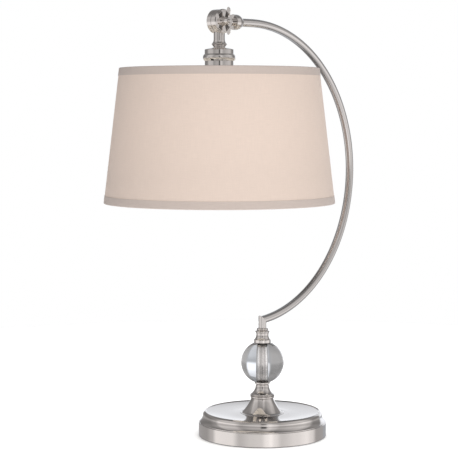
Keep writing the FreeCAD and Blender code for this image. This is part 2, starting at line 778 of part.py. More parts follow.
def make_knuckle_hardware():
    """Pivot screw, stop pin, friction washer, and the plain washer under the wing nut."""
    gap = S.knuckle_gap
    face = S.knuckle_half
    turned("pivot_screw", [
        (0, -face - 3.8),
        (7.0, -face - 0.9, dome_radius(7.0, 2.9)),
        (7.0, -face),
        (S.screw_radius, -face),
        (S.screw_radius, S.screw_tip - 0.6),
        (S.screw_radius - 0.6, S.screw_tip),
        (0, S.screw_tip),
    ], PIVOT_PLACE, PIVOT_TURN)
    pin_place = (-S.pivot_reach, as_size(0), PIVOT_HEIGHT + S.pin_circle)
    turned("stop_pin", [
        (0, -gap - 5),
        (S.pin_radius, -gap - 5),
        (S.pin_radius, gap + S.slot_depth - 0.7),
        (S.pin_radius - 0.3, gap + S.slot_depth - 0.4),
        (0, gap + S.slot_depth - 0.4),
    ], pin_place, PIVOT_TURN)
    turned("friction_washer", ring_section(
        S.lead_way_outer + 0.3, S.pin_circle - 1.9, -gap, gap - 0.05), PIVOT_PLACE, PIVOT_TURN)
    turned("wing_washer", ring_section(
        S.screw_bore, 7.6, face + 0.05, face + 1.05), PIVOT_PLACE, PIVOT_TURN)


def make_wing_nut():
    """A cast wing nut: a tapered hub and two thin blades that lean away from the knuckle."""
    hub_foot = S.knuckle_half + 1.15
    hub_top = S.knuckle_half + 11.2
    blade_half = 1.1
    body = new_body("wing_nut")
    hub = new_sketch(body, "hub_outline", "XZ_Plane")
    outline(hub, [
        (0, hub_foot),
        (6.4, hub_foot),
        (6.4, hub_foot + 1.4),
        (5.2, hub_top - 0.8),
        (4.4, hub_top, 0.9),
        (0, hub_top),
    ])
    revolve(body, hub, name="Hub")
    blade = new_sketch(body, "blade_outline", "YZ_Plane")
    outline(blade, [
        (0, hub_foot + 1.0),
        (5.6, hub_foot + 1.0),
        (12.5, hub_foot + 3.0, -14),
        (20.0, hub_foot + 6.2),
        (20.9, hub_foot + 8.6, 2.2),
        (16.0, hub_foot + 11.9, 7.5),
        (8.4, hub_foot + 9.4, 11),
        (4.6, hub_foot + 8.8, -6),
        (0, hub_foot + 8.8),
    ])
    blade_pad = pad(body, blade, as_size(2 * blade_half), "Blade", both_ways=True)
    doc.recompute()
    other = body.newObject("PartDesign::PolarPattern", "BladePair")
    other.Originals = [blade_pad]
    other.Axis = (hub, ["V_Axis"])
    other.Angle = 360
    other.Occurrences = 2
    body.Tip = other
    hole = new_sketch(body, "nut_thread", "XY_Plane", hub_foot)
    circle(hole, S.screw_radius + 0.06)
    pocket(body, hole, as_size(12), "Thread", backwards=True)
    keep(body, PIVOT_PLACE, PIVOT_TURN)


# ---- lampholder -------------------------------------------------------------------------------

def make_stem_fixings():
    """Threaded nipple, spacer washer and lock nut that hold the husk on the stem."""
    turned("stem_nipple", ring_section(
        S.pipe_bore, S.pipe_radius, S.husk_top - 13.4, S.stem_foot + 17), SHADE_PLACE)
    turned("stem_washer", ring_section(
        S.thread_bore, S.stem_radius, S.husk_top, S.stem_foot), SHADE_PLACE)
    hex_nut("husk_nut", 14, S.husk_top - 6, S.husk_top - 1.1, SHADE_PLACE)


def make_socket_husk():
    """The plated cup over the lampholder: low domed top, round bead and straight skirt."""
    shoulder = S.husk_top - 4.0
    inner = S.husk_radius - S.husk_wall
    body = turned("socket_husk", [
        (S.husk_radius, S.husk_foot),
        (S.husk_radius, S.bead_foot - 0.4),
        (S.bead_radius, S.bead_foot),
        (S.bead_radius, S.bead_head, S.bead_curve),
        (S.husk_radius + 0.2, S.bead_head + 0.5),
        (S.husk_radius + 0.2, shoulder),
        (S.husk_radius - 0.9, shoulder + 1.3, 1.3),
        (10, S.husk_top - 0.1, 48),
        (S.thread_bore, S.husk_top),
        (S.thread_bore, S.husk_top - 1.0),
        (10, S.husk_top - 1.1),
        (inner - 0.6, shoulder + 0.2),
        (inner, shoulder - 0.6),
        (inner, S.husk_foot),
    ], SHADE_PLACE)
    hole = new_sketch(body, "knob_hole", "YZ_Plane", -S.husk_radius - 2)
    circle(hole, S.shaft_radius + 0.9, 0, S.knob_height)
    pocket(body, hole, as_size(5), "KnobHole", backwards=True)


def make_socket():
    """Cap, moulded body, brass screw shell and centre contact of the lampholder."""
    turned("socket_cap", [
        (S.socket_radius, S.socket_top),
        (S.socket_radius, S.socket_top + 8),
        (12.5, S.socket_top + 14.5, 9),
        (7.5, S.socket_top + 15.5),
        (7.5, S.socket_top + 20.3),
        (S.thread_bore, S.socket_top + 20.3),
        (S.thread_bore, S.socket_top + 14.3),
        (11.8, S.socket_top + 13.3),
        (S.socket_radius - 1, S.socket_top + 7.6),
        (S.socket_radius - 1, S.socket_top),
    ], SHADE_PLACE)
    inside = S.shell_bore + 2.3
    body = turned("socket_body", [
        (inside, S.socket_foot),
        (S.socket_skirt, S.socket_foot),
        (S.socket_skirt, S.socket_foot + 14.5),
        (S.socket_radius, S.socket_foot + 15.9),
        (S.socket_radius, S.socket_top),
        (2, S.socket_top),
        (2, S.socket_floor),
        (inside, S.socket_floor),
    ], SHADE_PLACE)
    hole = new_sketch(body, "shaft_hole", "YZ_Plane", -S.socket_radius - 1)
    circle(hole, S.shaft_radius + 0.05, 0, S.knob_height)
    pocket(body, hole, as_size(5), "ShaftHole", backwards=True)
    turned("socket_screw_shell", [
        (S.shell_bore, S.socket_foot + 3),
        (S.shell_bore + 0.5, S.socket_foot + 3),
        (S.shell_bore + 0.5, S.socket_floor - 0.1),
        (7, S.socket_floor - 0.1),
        (7, S.socket_floor - 0.8),
        (S.shell_bore, S.socket_floor - 0.8),
    ], SHADE_PLACE)
    turned("socket_contact", [
        (0, S.socket_floor - 1.1),
        (3.6, S.socket_floor - 1.1),
        (3.6, S.socket_floor - 0.1),
        (1.9, S.socket_floor - 0.1),
        (1.9, S.socket_top + 1.5),
        (0, S.socket_top + 1.5),
    ], SHADE_PLACE)


def make_switch():
    """The turn switch on the side of the lampholder: a shaft and a fluted knob."""
    turned("switch_shaft", ring_section(
        0, S.shaft_radius, S.shell_bore + 2.0, S.knob_inner + 8), KNOB_PLACE, KNOB_TURN)
    body = new_body("switch_knob")
    grip = new_sketch(body, "knob_outline", "XZ_Plane")
    outline(grip, [
        (0, S.knob_inner + 8),
        (S.shaft_radius, S.knob_inner + 8),
        (S.shaft_radius, S.knob_inner),
        (3.4, S.knob_inner),
        (3.9, S.knob_inner + 3.2),
        (S.knob_radius, S.knob_inner + 4.6),
        (S.knob_radius, S.knob_outer - 1.2),
        (S.knob_radius - 1.2, S.knob_outer, 1.2),
        (0, S.knob_outer + 0.5, dome_radius(5.3, 0.5)),
    ])
    revolve(body, grip, name="Grip")
    flute = new_sketch(body, "knob_flute", "XY_Plane", S.knob_inner + 4)
    circle(flute, 0.9, S.knob_radius + 0.35, 0)
    cut = pocket(body, flute, as_size(12), "Flute", backwards=True)
    flutes = body.newObject("PartDesign::PolarPattern", "Flutes")
    flutes.Originals = [cut]
    flutes.Axis = (grip, ["V_Axis"])
    flutes.Angle = 360
    flutes.Occurrences = 14
    body.Tip = flutes
    keep(body, KNOB_PLACE, KNOB_TURN)


# ---- bulb -------------------------------------------------------------------------------------

def make_bulb():
    """A pear-shaped bulb hanging cap upwards in the lampholder."""
    turned("bulb_glass", globe_outline(S.bulb_radius, S.bulb_wall), SHADE_PLACE)
    crest = S.bulb_cap_radius
    valley = crest - 0.8
    wall = 0.4
    pitch = 3.6
    threads = 5
    thread_foot = S.bulb_cap_foot + 3.5
    outside = [(crest - 0.1, S.bulb_cap_foot), (crest - 0.1, thread_foot - 0.9)]
    inside = [(valley - wall, S.bulb_cap_foot), (valley - wall, S.bulb_cap_top - 2.6)]
    for turn in range(threads):
        low = thread_foot + turn * pitch
        outside.append((valley, low, -1.6) if turn == 0 else (valley, low, 1.6))
        outside.append((valley, low + pitch / 3, -1.6))
    outside.append((valley, thread_foot + threads * pitch, 1.6))
    outside.append((10.7, S.bulb_cap_top, 3.2))
    turned("bulb_cap", outside + [(10.7, S.bulb_cap_top - wall)] + inside[::-1], SHADE_PLACE)
    turned("bulb_insulator", [
        (0, S.bulb_cap_top - 1.0),
        (10.0, S.bulb_cap_top - 1.0),
        (10.5, S.bulb_cap_top - 0.4),
        (4.8, S.bulb_cap_top + 1.9, -14),
        (0, S.bulb_cap_top + 1.9),
    ], SHADE_PLACE)
    turned("bulb_contact", [
        (0, S.bulb_cap_top + 1.9),
        (4.6, S.bulb_cap_top + 1.9),
        (3.0, S.bulb_cap_top + 3.4, 2.2),
        (0, S.bulb_cap_top + 3.8, dome_radius(3.0, 0.4)),
    ], SHADE_PLACE)


def globe_outline(radius, wall):
    """The bulb's section: straight neck, hollow-curved shoulder and round globe."""
    neck = S.bulb_cap_radius - 1.9
    inner = radius - wall
    join = radius * 0.75
    inner_join = inner * 0.75
    rise = root_of_squares(radius, join)
    inner_rise = root_of_squares(inner, inner_join)
    low = S.bulb_cap_foot - 2
    return [
        (0, S.bulb_centre - radius),
        (radius, S.bulb_centre, radius),
        (join, S.bulb_centre + rise, radius),
        (neck + 0.6, low, -75),
        (neck, S.bulb_cap_foot + 4),
        (neck - wall, S.bulb_cap_foot + 4),
        (neck + 0.6 - wall, low),
        (inner_join, S.bulb_centre + inner_rise, 76),
        (inner, S.bulb_centre, -inner),
        (0, S.bulb_centre - inner, -inner),
    ]


# ---- shade ------------------------------------------------------------------------------------

def shade_radius(height, depth):
    """The shade's radius at a height, at a depth under its outer face."""
    taper = (S.shade_bottom_radius.value - S.shade_top_radius.value)
    taper = taper / (S.shade_top.value - S.shade_bottom.value)
    return S.shade_bottom_radius - (height - S.shade_bottom) * taper - depth


def shade_layer(label, outer, thickness, foot, top):
    inner = outer + thickness
    turned(label, [
        (shade_radius(foot, outer), foot),
        (shade_radius(top, outer), top),
        (shade_radius(top, inner), top),
        (shade_radius(foot, inner), foot),
    ], SHADE_PLACE)


def shade_trim(label, edge, side):
    """A folded strip over one edge of the shade; side is +1 at the top and -1 at the bottom."""
    thick = S.trim_thick
    inside = layer_depth("inside")
    fold = edge - thick * side
    outer_end = edge - S.trim_width * side
    inner_end = edge - S.trim_inside * side
    points = [
        (shade_radius(outer_end, 0), outer_end),
        (shade_radius(edge, 0), edge),
        (shade_radius(edge, inside + thick), edge),
        (shade_radius(inner_end, inside + thick), inner_end),
        (shade_radius(inner_end, inside), inner_end),
        (shade_radius(fold, inside), fold),
        (shade_radius(fold, thick), fold),
        (shade_radius(outer_end, thick), outer_end),
    ]
    turned(label, points if side > 0 else points[::-1], SHADE_PLACE)


def layer_depth(layer):
    """How deep a layer of the shade lies under the outer face."""
    cover = S.trim_thick + S.layer_gap
    liner = cover + S.fabric_thick + S.layer_gap
    inside = liner + S.liner_thick + S.layer_gap
    return {"cover": cover, "liner": liner, "inside": inside}[layer]


def make_shade():
    foot = S.shade_bottom + S.trim_thick + S.layer_gap
    top = S.shade_top - S.trim_thick - S.layer_gap
    shade_layer("shade_cover", layer_depth("cover"), S.fabric_thick, foot, top)
    shade_layer("shade_liner", layer_depth("liner"), S.liner_thick, foot, top)
    shade_trim("shade_top_trim", S.shade_top, 1)
    shade_trim("shade_bottom_trim", S.shade_bottom, -1)
    wire_ring("shade_top_wire", top_wire_height())
    wire_ring("shade_bottom_wire", S.shade_bottom + S.wire_radius + 0.5)


def top_wire_height():
    return S.shade_top - S.wire_radius - 0.5


def wire_circle(height):
    """The radius of a wire ring's centre line, just inside the folded trim."""
    return shade_radius(height, layer_depth("inside") + S.trim_thick + S.wire_radius + 0.25)


def wire_ring(label, height):
    ring = doc.addObject("Part::Torus", label)
    ring.Label = label
    bind(ring, "Radius1", wire_circle(height))
    bind(ring, "Radius2", S.wire_radius)
    keep(ring, (SHADE_PLACE[0], SHADE_PLACE[1], height))


def make_shade_fitter():
    """Fitter ring, its threaded clamp ring, and three arms that rise to the top wire ring."""
    turned("shade_fitter_ring", ring_section(
        S.fitter_bore, S.fitter_radius, S.fitter_foot, S.husk_foot), SHADE_PLACE)
    turned("shade_clamp_ring", [
        (S.socket_skirt + 0.05, S.fitter_foot - 4.1),
        (S.fitter_radius - 2.2, S.fitter_foot - 4.1),
        (S.fitter_radius - 1.2, S.fitter_foot - 3.1),
        (S.fitter_radius - 1.2, S.fitter_foot - 0.1),
        (S.socket_skirt + 0.05, S.fitter_foot - 0.1),
    ], SHADE_PLACE)
    for number, angle in enumerate((0, 120, 240), start=1):
        make_spider_arm(number, angle)


def make_spider_arm(number, angle):
    label = f"spider_arm_{number}"
    level = (S.fitter_foot + S.husk_foot) * 0.5
    wire_height = top_wire_height()
    body = new_body(label)
    route = new_sketch(body, f"{label}_route", "XZ_Plane")
    tip = (wire_circle(wire_height) - 1.7, wire_height - 0.8)
    climb = math.atan2((tip[1] - level).value, (tip[0] - S.spoke_bend).value)
    setback = S.spoke_curve * math.tan(climb / 2)
    stops = [
        (S.fitter_radius, level),
        (S.spoke_bend - setback, level),
        (S.spoke_bend + setback * math.cos(climb), level + setback * math.sin(climb)),
        tip,
    ]
    spots = [FreeCAD.Vector(across.value, up.value, 0) for across, up in stops]
    run_in = route.addGeometry(Part.LineSegment(spots[0], spots[1]))
    turn_up = route.addGeometry(short_arc(spots[1], spots[2], S.spoke_curve.value))
    run_up = route.addGeometry(Part.LineSegment(spots[2], spots[3]))
    route.addConstraint(Sketcher.Constraint("Coincident", run_in, 2, turn_up, 1))
    route.addConstraint(Sketcher.Constraint("Coincident", turn_up, 2, run_up, 1))
    fix_radius(route, turn_up, S.spoke_curve, "curve")
    ends = [(run_in, 1), (run_in, 2), (run_up, 1), (run_up, 2)]
    for step, ((geometry, end), spot) in enumerate(zip(ends, stops)):
        fix_point(route, geometry, end, spot, f"stop{step}")
    section = new_sketch(body, f"{label}_section", "YZ_Plane", S.fitter_radius)
    circle(section, S.spoke_radius, 0, level)
    rod = body.newObject("PartDesign::AdditivePipe", "Rod")
    rod.Profile = section
    rod.Spine = (route, ["Edge1", "Edge2", "Edge3"])
    keep(body, SHADE_PLACE, FreeCAD.Rotation(Z_AXIS, angle))


# ---- build, check and write -------------------------------------------------------------------

def build_lamp():
    make_base_shell()
    make_base_weight()
    make_base_felt()
    make_base_clamp()
    make_threaded_pipe()
    make_inlet_bush()
    make_neck_bell()
    make_neck_ring()
    make_neck_flare()
    make_ball_seat()
    make_crystal_ball()
    make_ball_sleeve()
    make_ball_cap()
    make_post_rings()
    make_arm_post()
    make_arm_tube()
    make_arm_ferrule()
    make_knuckle_rear_half()
    make_knuckle_front_half()
    make_knuckle_hardware()
    make_wing_nut()
    make_stem_fixings()
    make_socket_husk()
    make_socket()
    make_switch()
    make_bulb()
    make_shade()
    make_shade_fitter()


def check_document():
    doc.recompute()
    failed = []
    for item in doc.Objects:
        if "Invalid" in item.State or "Error" in item.State:
            failed.append(f"{item.Label}: {item.State}")
    for item in sub_parts:
        shape = item.Shape
        if shape.isNull() or not shape.isValid() or len(shape.Solids) != 1:
            failed.append(f"{item.Label}: shape is empty, not valid or not one solid")
    if failed:
        raise RuntimeError("; ".join(failed))


def write_parts():
    os.makedirs("parts", exist_ok=True)
    for item in sub_parts:
        item.Shape.exportStep(f"parts/{item.Label}.step")
        print(f"{item.Label}: {item.Shape.Volume / 1000:.2f} cm3")


build_lamp()
check_document()
write_parts()
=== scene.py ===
import json
import math

import bmesh
import bpy
from bpy.props import FloatProperty, FloatVectorProperty, PointerProperty
from mathutils import Matrix, Vector


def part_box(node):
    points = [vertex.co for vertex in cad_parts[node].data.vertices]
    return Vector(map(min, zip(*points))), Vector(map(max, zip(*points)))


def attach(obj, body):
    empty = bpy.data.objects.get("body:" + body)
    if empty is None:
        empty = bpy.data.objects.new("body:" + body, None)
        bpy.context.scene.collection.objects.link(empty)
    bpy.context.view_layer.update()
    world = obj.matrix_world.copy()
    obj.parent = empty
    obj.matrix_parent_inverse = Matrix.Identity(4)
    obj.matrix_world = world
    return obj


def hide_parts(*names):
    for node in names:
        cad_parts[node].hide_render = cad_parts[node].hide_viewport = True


# A downbridge table lamp with a crystal ball: a bowed nickel arm carries a drum shade on a swivel
# knuckle. Everything is in metres, +Z up, in the frame's own place. Outlines are in millimetres.

bl_info = {
    "name": "Downbridge Table Lamp",
    "version": (1, 0, 0),
    "blender": (4, 5, 0),
    "location": "3D View > Sidebar > Lamp",
    "description": "Models the pieces of a bowed table lamp on its frame",
    "category": "Object",
}

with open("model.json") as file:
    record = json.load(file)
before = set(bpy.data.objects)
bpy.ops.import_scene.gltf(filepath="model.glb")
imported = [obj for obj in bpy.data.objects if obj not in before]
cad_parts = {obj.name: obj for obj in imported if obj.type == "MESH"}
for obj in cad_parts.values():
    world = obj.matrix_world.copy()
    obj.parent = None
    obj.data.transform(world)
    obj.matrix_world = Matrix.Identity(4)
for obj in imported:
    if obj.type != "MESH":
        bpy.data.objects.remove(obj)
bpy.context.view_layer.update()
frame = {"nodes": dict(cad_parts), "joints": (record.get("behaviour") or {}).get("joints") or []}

MM = 0.001
X_AXIS = Vector((1, 0, 0))
Y_AXIS = Vector((0, 1, 0))
Z_AXIS = Vector((0, 0, 1))
ORIGIN = Vector((0, 0, 0))


# ---- reading the frame -------------------------------------------------------------------------

def middle(node):
    """The centre of a node's box."""
    low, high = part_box(node)
    return (low + high) / 2


def half_width(node, axis=0):
    low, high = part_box(node)
    return (high[axis] - low[axis]) / 2


def turned_size(node):
    """Radius, foot and top of an upright turned node, in millimetres."""
    low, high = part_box(node)
    return half_width(node, 1) / MM, low.z / MM, high.z / MM


def upright_axis(node):
    """The point of a node's upright axis that is at height nought."""
    centre = middle(node)
    return Vector((centre.x, centre.y, 0))


def linear(hex_colour):
    """An sRGB hex colour as the linear numbers that Blender works in."""
    parts = [int(hex_colour[place:place + 2], 16) / 255 for place in (0, 2, 4)]
    return [part / 12.92 if part <= 0.04045 else ((part + 0.055) / 1.055) ** 2.4 for part in parts]


# ---- sizes and colours that a user would change ------------------------------------------------

def length(name, description, default):
    return FloatProperty(
        name=name, description=description, default=default, unit="LENGTH", precision=5)


def colour(name, description, hex_colour):
    return FloatVectorProperty(
        name=name, description=description, subtype="COLOR", size=3, min=0, max=1,
        default=linear(hex_colour))


class LampMetalwork(bpy.types.PropertyGroup):
    """Sizes of the turned and bent metal pieces"""

    eased_edge: length(
        "Eased edge", "How far the sharp edges of turned metal are rounded", 0.22 * MM)
    sheet_wall: length("Cover wall", "Wall of the spun base cover", 1.5 * MM)
    clear_bore: length(
        "Clear bore", "Hole through the neck pieces for the threaded pipe", 5.3 * MM)
    arm_bend: length("Arm bend", "Bend radius of the arm's centre line", 234.5 * MM)
    tube_radius: length("Tube radius", "Outside of the arm tube", half_width("arm_tube", 1))
    tube_wall: length("Tube wall", "Wall of the arm tube", 1.0 * MM)
    thread_pitch: length("Thread pitch", "Pitch of the pivot screw's thread", 0.8 * MM)
    blade_thickness: length(
        "Blade thickness", "Wing nut blades, thickness at the hub", 2.2 * MM)


class LampGlass(bpy.types.PropertyGroup):
    """Sizes of the crystal ball and the bulb"""

    ball_bore: length("Ball bore", "Radius of the hole through the crystal ball", 6.7 * MM)
    bulb_wall: length("Bulb wall", "Thickness of the bulb's glass", 0.8 * MM)


class LampShade(bpy.types.PropertyGroup):
    """Sizes of the shade's layers"""

    cover_thickness: length("Cover thickness", "Thickness of the shade's cloth", 0.8 * MM)
    liner_thickness: length(
        "Liner thickness", "Thickness of the stiff liner under the cloth", 0.6 * MM)
    trim_thickness: length("Trim thickness", "Thickness of the folded edge trims", 0.45 * MM)
    trim_width: length("Trim width", "Width of the edge trims on the outside", 12.0 * MM)
    trim_fold: length("Trim fold", "Width of the edge trims on the inside", 6.0 * MM)
    layer_gap: length("Layer gap", "Gap between the layers of the shade", 0.05 * MM)
    seam_width: length(
        "Seam width", "Width of the cloth's overlapped seam at the back", 10.0 * MM)
    seam_rise: length("Seam rise", "How far the overlapped seam stands up", 0.35 * MM)
    seam_angle: FloatProperty(
        name="Seam angle", description="Where the seam is, round the shade from +X",
        default=math.radians(45), subtype="ANGLE")
    thread_spacing: length(
        "Thread spacing", "Spacing of the cloth's threads as they are drawn", 0.9 * MM)


class LampFinishes(bpy.types.PropertyGroup):
    """Colours of the lamp's finishes"""

    nickel: colour("Nickel", "Polished nickel plate", "DEDAD7")
    arm_nickel: colour("Arm nickel", "Brushed nickel plate of the arm", "DAD7D5")
    crystal: colour("Crystal", "Tint of the crystal ball", "F8F9FA")
    cloth: colour("Cloth", "Cream linen of the shade", "D9C9BE")
    # The trim is the same linen as the cloth, set darker: painted shade for the doubled strips,
    # which let less lamplight through.
    trim: colour("Trim", "Folded linen strips at the shade's edges", "C3B7B0")
    # Glow and cloth glow are painted light: an emission on the cloth, not light that passes through
    # it.
    glow: colour("Glow", "Lamplight that comes through the cloth", "FFE3CF")
    felt: colour("Felt", "Felt under the base", "2E2D2C")
    bulb_glow: FloatProperty(
        name="Bulb glow", description="How brightly the bulb shines of itself",
        default=0.12, min=0, max=20)
    cloth_glow: FloatProperty(
        name="Cloth glow", description="How much light comes through the cloth by the bulb",
        default=0.05, min=0, max=5)


class LampStudio(bpy.types.PropertyGroup):
    """Where the camera and the lights are"""

    camera_place: FloatVectorProperty(
        name="Camera place", description="Where the camera stands",
        subtype="XYZ", unit="LENGTH", size=3, default=(-1.7866, -1.7237, 0.5185))
    camera_heading: FloatProperty(
        name="Camera heading", description="Which way the camera looks, round from +X",
        default=math.atan2(0.7096, 0.7046), subtype="ANGLE")
    camera_tilt: FloatProperty(
        name="Camera tilt", description="How far the camera looks down",
        default=math.radians(4.34), subtype="ANGLE")
    camera_lens: FloatProperty(
        name="Camera lens", description="Focal length of the camera, in millimetres",
        default=123.5, min=10, max=400)
    floor_radius: FloatProperty(
        name="Floor radius", description="Radius of the pale floor",
        default=1.35, unit="LENGTH")


GROUPS = {
    "lamp_metalwork": LampMetalwork,
    "lamp_glass": LampGlass,
    "lamp_shade": LampShade,
    "lamp_finishes": LampFinishes,
    "lamp_studio": LampStudio,
}


# ---- modelling by hand, in code ----------------------------------------------------------------

WELD_DISTANCE = 2e-6


def object_mode():
    bpy.ops.object.mode_set(mode="OBJECT")


def select_all():
    bpy.ops.mesh.select_all(action="SELECT")


def extrude(offset):
    bpy.ops.mesh.extrude_region_move(TRANSFORM_OT_translate={"value": offset})


def pass_over():
    """Leave nothing selected, so that the next tool acts on its own piece only."""
    if bpy.context.object and bpy.context.object.mode != "OBJECT":
        object_mode()
    bpy.ops.object.select_all(action="DESELECT")


def take(piece):
    """Make one piece the selected and active one."""
    pass_over()
    piece.select_set(True)
    bpy.context.view_layer.objects.active = piece


def edit(piece, kind="VERT"):
    take(piece)
    bpy.ops.object.mode_set(mode="EDIT")
    bpy.ops.mesh.select_mode(type=kind)


def pick(piece, kind, test):
    """In edit mode, select the piece's verts, edges or faces that pass a test, and nothing else."""
    bpy.ops.mesh.select_all(action="DESELECT")
    mesh = bmesh.from_edit_mesh(piece.data)
    for item in getattr(mesh, kind):
        if test(item):
            item.select_set(True)
    mesh.select_flush_mode()
    bmesh.update_edit_mesh(piece.data)


def weld(turn_outwards=True):
    """In edit mode, merge doubles, and turn the faces outwards."""
    select_all()
    bpy.ops.mesh.remove_doubles(threshold=WELD_DISTANCE)
    if turn_outwards:
        bpy.ops.mesh.normals_make_consistent(inside=False)


def weld_and_leave():
    weld()
    object_mode()


def modify(piece, kind, **settings):
    """Add a modifier with its settings and apply it."""
    take(piece)
    modifier = piece.modifiers.new(kind.title(), kind)
    for name, value in settings.items():
        setattr(modifier, name, value)
    bpy.ops.object.modifier_apply(modifier=modifier.name)


def arc_steps(start, stop, radius):
    """Points along the short arc between two points. A positive radius curves to the left."""
    chord = stop - start
    left = Vector((-chord.y, chord.x)).normalized()
    reach = math.sqrt(max(radius ** 2 - chord.length ** 2 / 4, 0))
    centre = (start + stop) / 2 + left * math.copysign(reach, radius)
    turn = 2 * math.asin(min(chord.length / 2 / abs(radius), 1)) * math.copysign(1, radius)
    # A step strays from the arc by no more than the slack, and turns by no more than 12 degrees.
    slack, least_cosine = 0.008, 0.9945
    finest = 2 * math.acos(max(1 - slack / abs(radius), least_cosine))
    count = max(2, math.ceil(abs(turn) / finest))
    arm = start - centre
    return [centre + Matrix.Rotation(turn * step / count, 2) @ arm
            for step in range(1, count + 1)]


def flat_points(outline):
    """An outline of (across, up) or (across, up, radius of the arc to it), as points."""
    corners = [Vector(point[:2]) for point in outline]
    closed = corners[0].x > 1e-6 or corners[-1].x > 1e-6
    order = list(range(1, len(outline))) + ([0] if closed else [])
    points = [corners[0]]
    for number in order:
        if len(outline[number]) == 2:
            points.append(corners[number])
        else:
            points.extend(arc_steps(points[-1], corners[number], outline[number][2]))
    return points


def across_axis(axis):
    return Z_AXIS if abs(axis.x) > 0.5 else X_AXIS


def draw(name, places):
    """Draw a line through some places, one extruded vertex after another."""
    pass_over()
    bpy.ops.mesh.primitive_plane_add(size=MM, location=places[0])
    piece = bpy.context.object
    piece.name = name
    bpy.ops.object.mode_set(mode="EDIT")
    bpy.ops.mesh.select_mode(type="VERT")
    select_all()
    bpy.ops.mesh.merge(type="CENTER")
    for last, stop in zip(places, places[1:]):
        extrude(stop - last)
    return piece


def ease_corners(piece, amount, axis, origin):
    """In edit mode, round the corners of a drawn outline where it turns sharply."""
    sharp = math.radians(24)
    room = 2.4 * amount
    matrix = piece.matrix_world

    def is_sharp(vertex):
        if len(vertex.link_edges) != 2:
            return False
        away = matrix @ vertex.co - origin
        if (away - away.dot(axis) * axis).length < MM / 10:
            return False
        if min(edge.calc_length() for edge in vertex.link_edges) < room:
            return False
        ends = [edge.other_vert(vertex).co - vertex.co for edge in vertex.link_edges]
        return ends[0].angle(-ends[1]) > sharp

    pick(piece, "verts", is_sharp)
    if any(vertex.select for vertex in bmesh.from_edit_mesh(piece.data).verts):
        bpy.ops.mesh.bevel(
            offset_type="OFFSET", offset=amount, segments=3, affect="VERTICES", clamp_overlap=True)


def turn(name, outline, origin=ORIGIN, axis=Z_AXIS, steps=96, ease=None):
    """Draw an outline in (radius, height along the axis) and spin it right round."""
    side = across_axis(axis)
    places = [origin + (side * spot.x + axis * spot.y) * MM for spot in flat_points(outline)]
    piece = draw(name, places)
    weld(turn_outwards=False)
    if ease is None:
        ease = bpy.context.scene.lamp_metalwork.eased_edge
    if ease > 0:
        ease_corners(piece, ease, axis, origin)
    select_all()
    bpy.ops.mesh.spin(steps=steps, angle=math.tau, center=origin, axis=axis)
    weld_and_leave()
    return piece


def settle(piece):
    """Put the piece's place into its mesh, with its object at the origin."""
    take(piece)
    bpy.ops.object.transform_apply(location=True, rotation=True, scale=True)


def hoop(name, radius, place, rotation=(0, 0, 0), corners=64):
    """A ring of vertices, open in edit mode with all of it selected."""
    pass_over()
    bpy.ops.mesh.primitive_circle_add(
        vertices=corners, radius=radius, location=place, rotation=rotation)
    piece = bpy.context.object
    piece.name = name
    settle(piece)
    edit(piece)
    select_all()
    return piece


def drill_across(piece, radius, depth, place, corners):
    """Cut a round hole along X through a piece."""
    pass_over()
    bpy.ops.mesh.primitive_cylinder_add(
        vertices=corners, radius=radius, depth=depth, location=place,
        rotation=(0, math.pi / 2, 0))
    boolean(piece, bpy.context.object, "DIFFERENCE")


def smooth(piece, angle=32):
    """Smooth shading that keeps the flat stretches flat and the true corners sharp."""
    take(piece)
    bpy.ops.object.shade_smooth_by_angle(angle=math.radians(angle))
    modify(piece, "WEIGHTED_NORMAL", mode="FACE_AREA", weight=50, keep_sharp=True)


def fit(piece, body, slot, material, *nodes):
    """Give a finished piece its material, the body that it rides on and the nodes it stands for."""
    settle(piece)
    piece.data.materials.clear()
    piece.data.materials.append(material)
    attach(piece, body)
    if nodes:
        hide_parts(*nodes)
    return piece


def turned_piece(node, outline, finish, body="stand", angle=32, **lathe):
    """Turn a piece, smooth it and let it stand for its node. finish is (slot, material)."""
    piece = turn(f"{node}_piece", outline, **lathe)
    smooth(piece, angle)
    return fit(piece, body, finish[0], finish[1], node)


def boolean(piece, tool, operation):
    """Join, cut or intersect two closed pieces, and throw the tool away."""
    modify(piece, "BOOLEAN", operation=operation, object=tool, solver="EXACT")
    bpy.data.objects.remove(tool)


def unwrap(piece, place, radius):
    """Give the piece a UV map in metres: along the run, and round it.

    place gives how far along a point is and its angle round the run. radius turns that angle
    into a length.
    """
    layer = piece.data.uv_layers.new(name="Run")
    for face in piece.data.polygons:
        _, middle_angle = place(face.center)
        for corner in face.loop_indices:
            point = piece.data.vertices[piece.data.loops[corner].vertex_index].co
            along, angle = place(point)
            angle += round((middle_angle - angle) / math.tau) * math.tau
            layer.data[corner].uv = (along, angle * radius)


# ---- materials ---------------------------------------------------------------------------------

def add_node(tree, kind, inputs=None, **settings):
    """Add a node with its settings, its values and its links."""
    node = tree.nodes.new(kind)
    for name, value in settings.items():
        setattr(node, name, value)
    for socket, value in (inputs or {}).items():
        if isinstance(value, bpy.types.NodeSocket):
            tree.links.new(value, node.inputs[socket])
        else:
            node.inputs[socket].default_value = value
    return node


def new_material(name):
    """A material with a Principled shader, and its node tree."""
    material = bpy.data.materials.new(name)
    material.use_nodes = True
    tree = material.node_tree
    tree.nodes.clear()
    shader = add_node(tree, "ShaderNodeBsdfPrincipled")
    add_node(tree, "ShaderNodeOutputMaterial", {"Surface": shader.outputs["BSDF"]})
    return material, tree, shader


def set_shader(tree, shader, **values):
    """Set the shader's inputs to values, or link them. An underscore stands for a space."""
    for name, value in values.items():
        socket = shader.inputs[name.replace("_", " ")]
        if isinstance(value, bpy.types.NodeSocket):
            tree.links.new(value, socket)
        else:
            socket.default_value = value


def solid(colour):
    return (colour[0], colour[1], colour[2], 1.0)


def darker(colour, share):
    return [part * share for part in colour]


def object_place(tree):
    return add_node(tree, "ShaderNodeTexCoord").outputs["Object"]


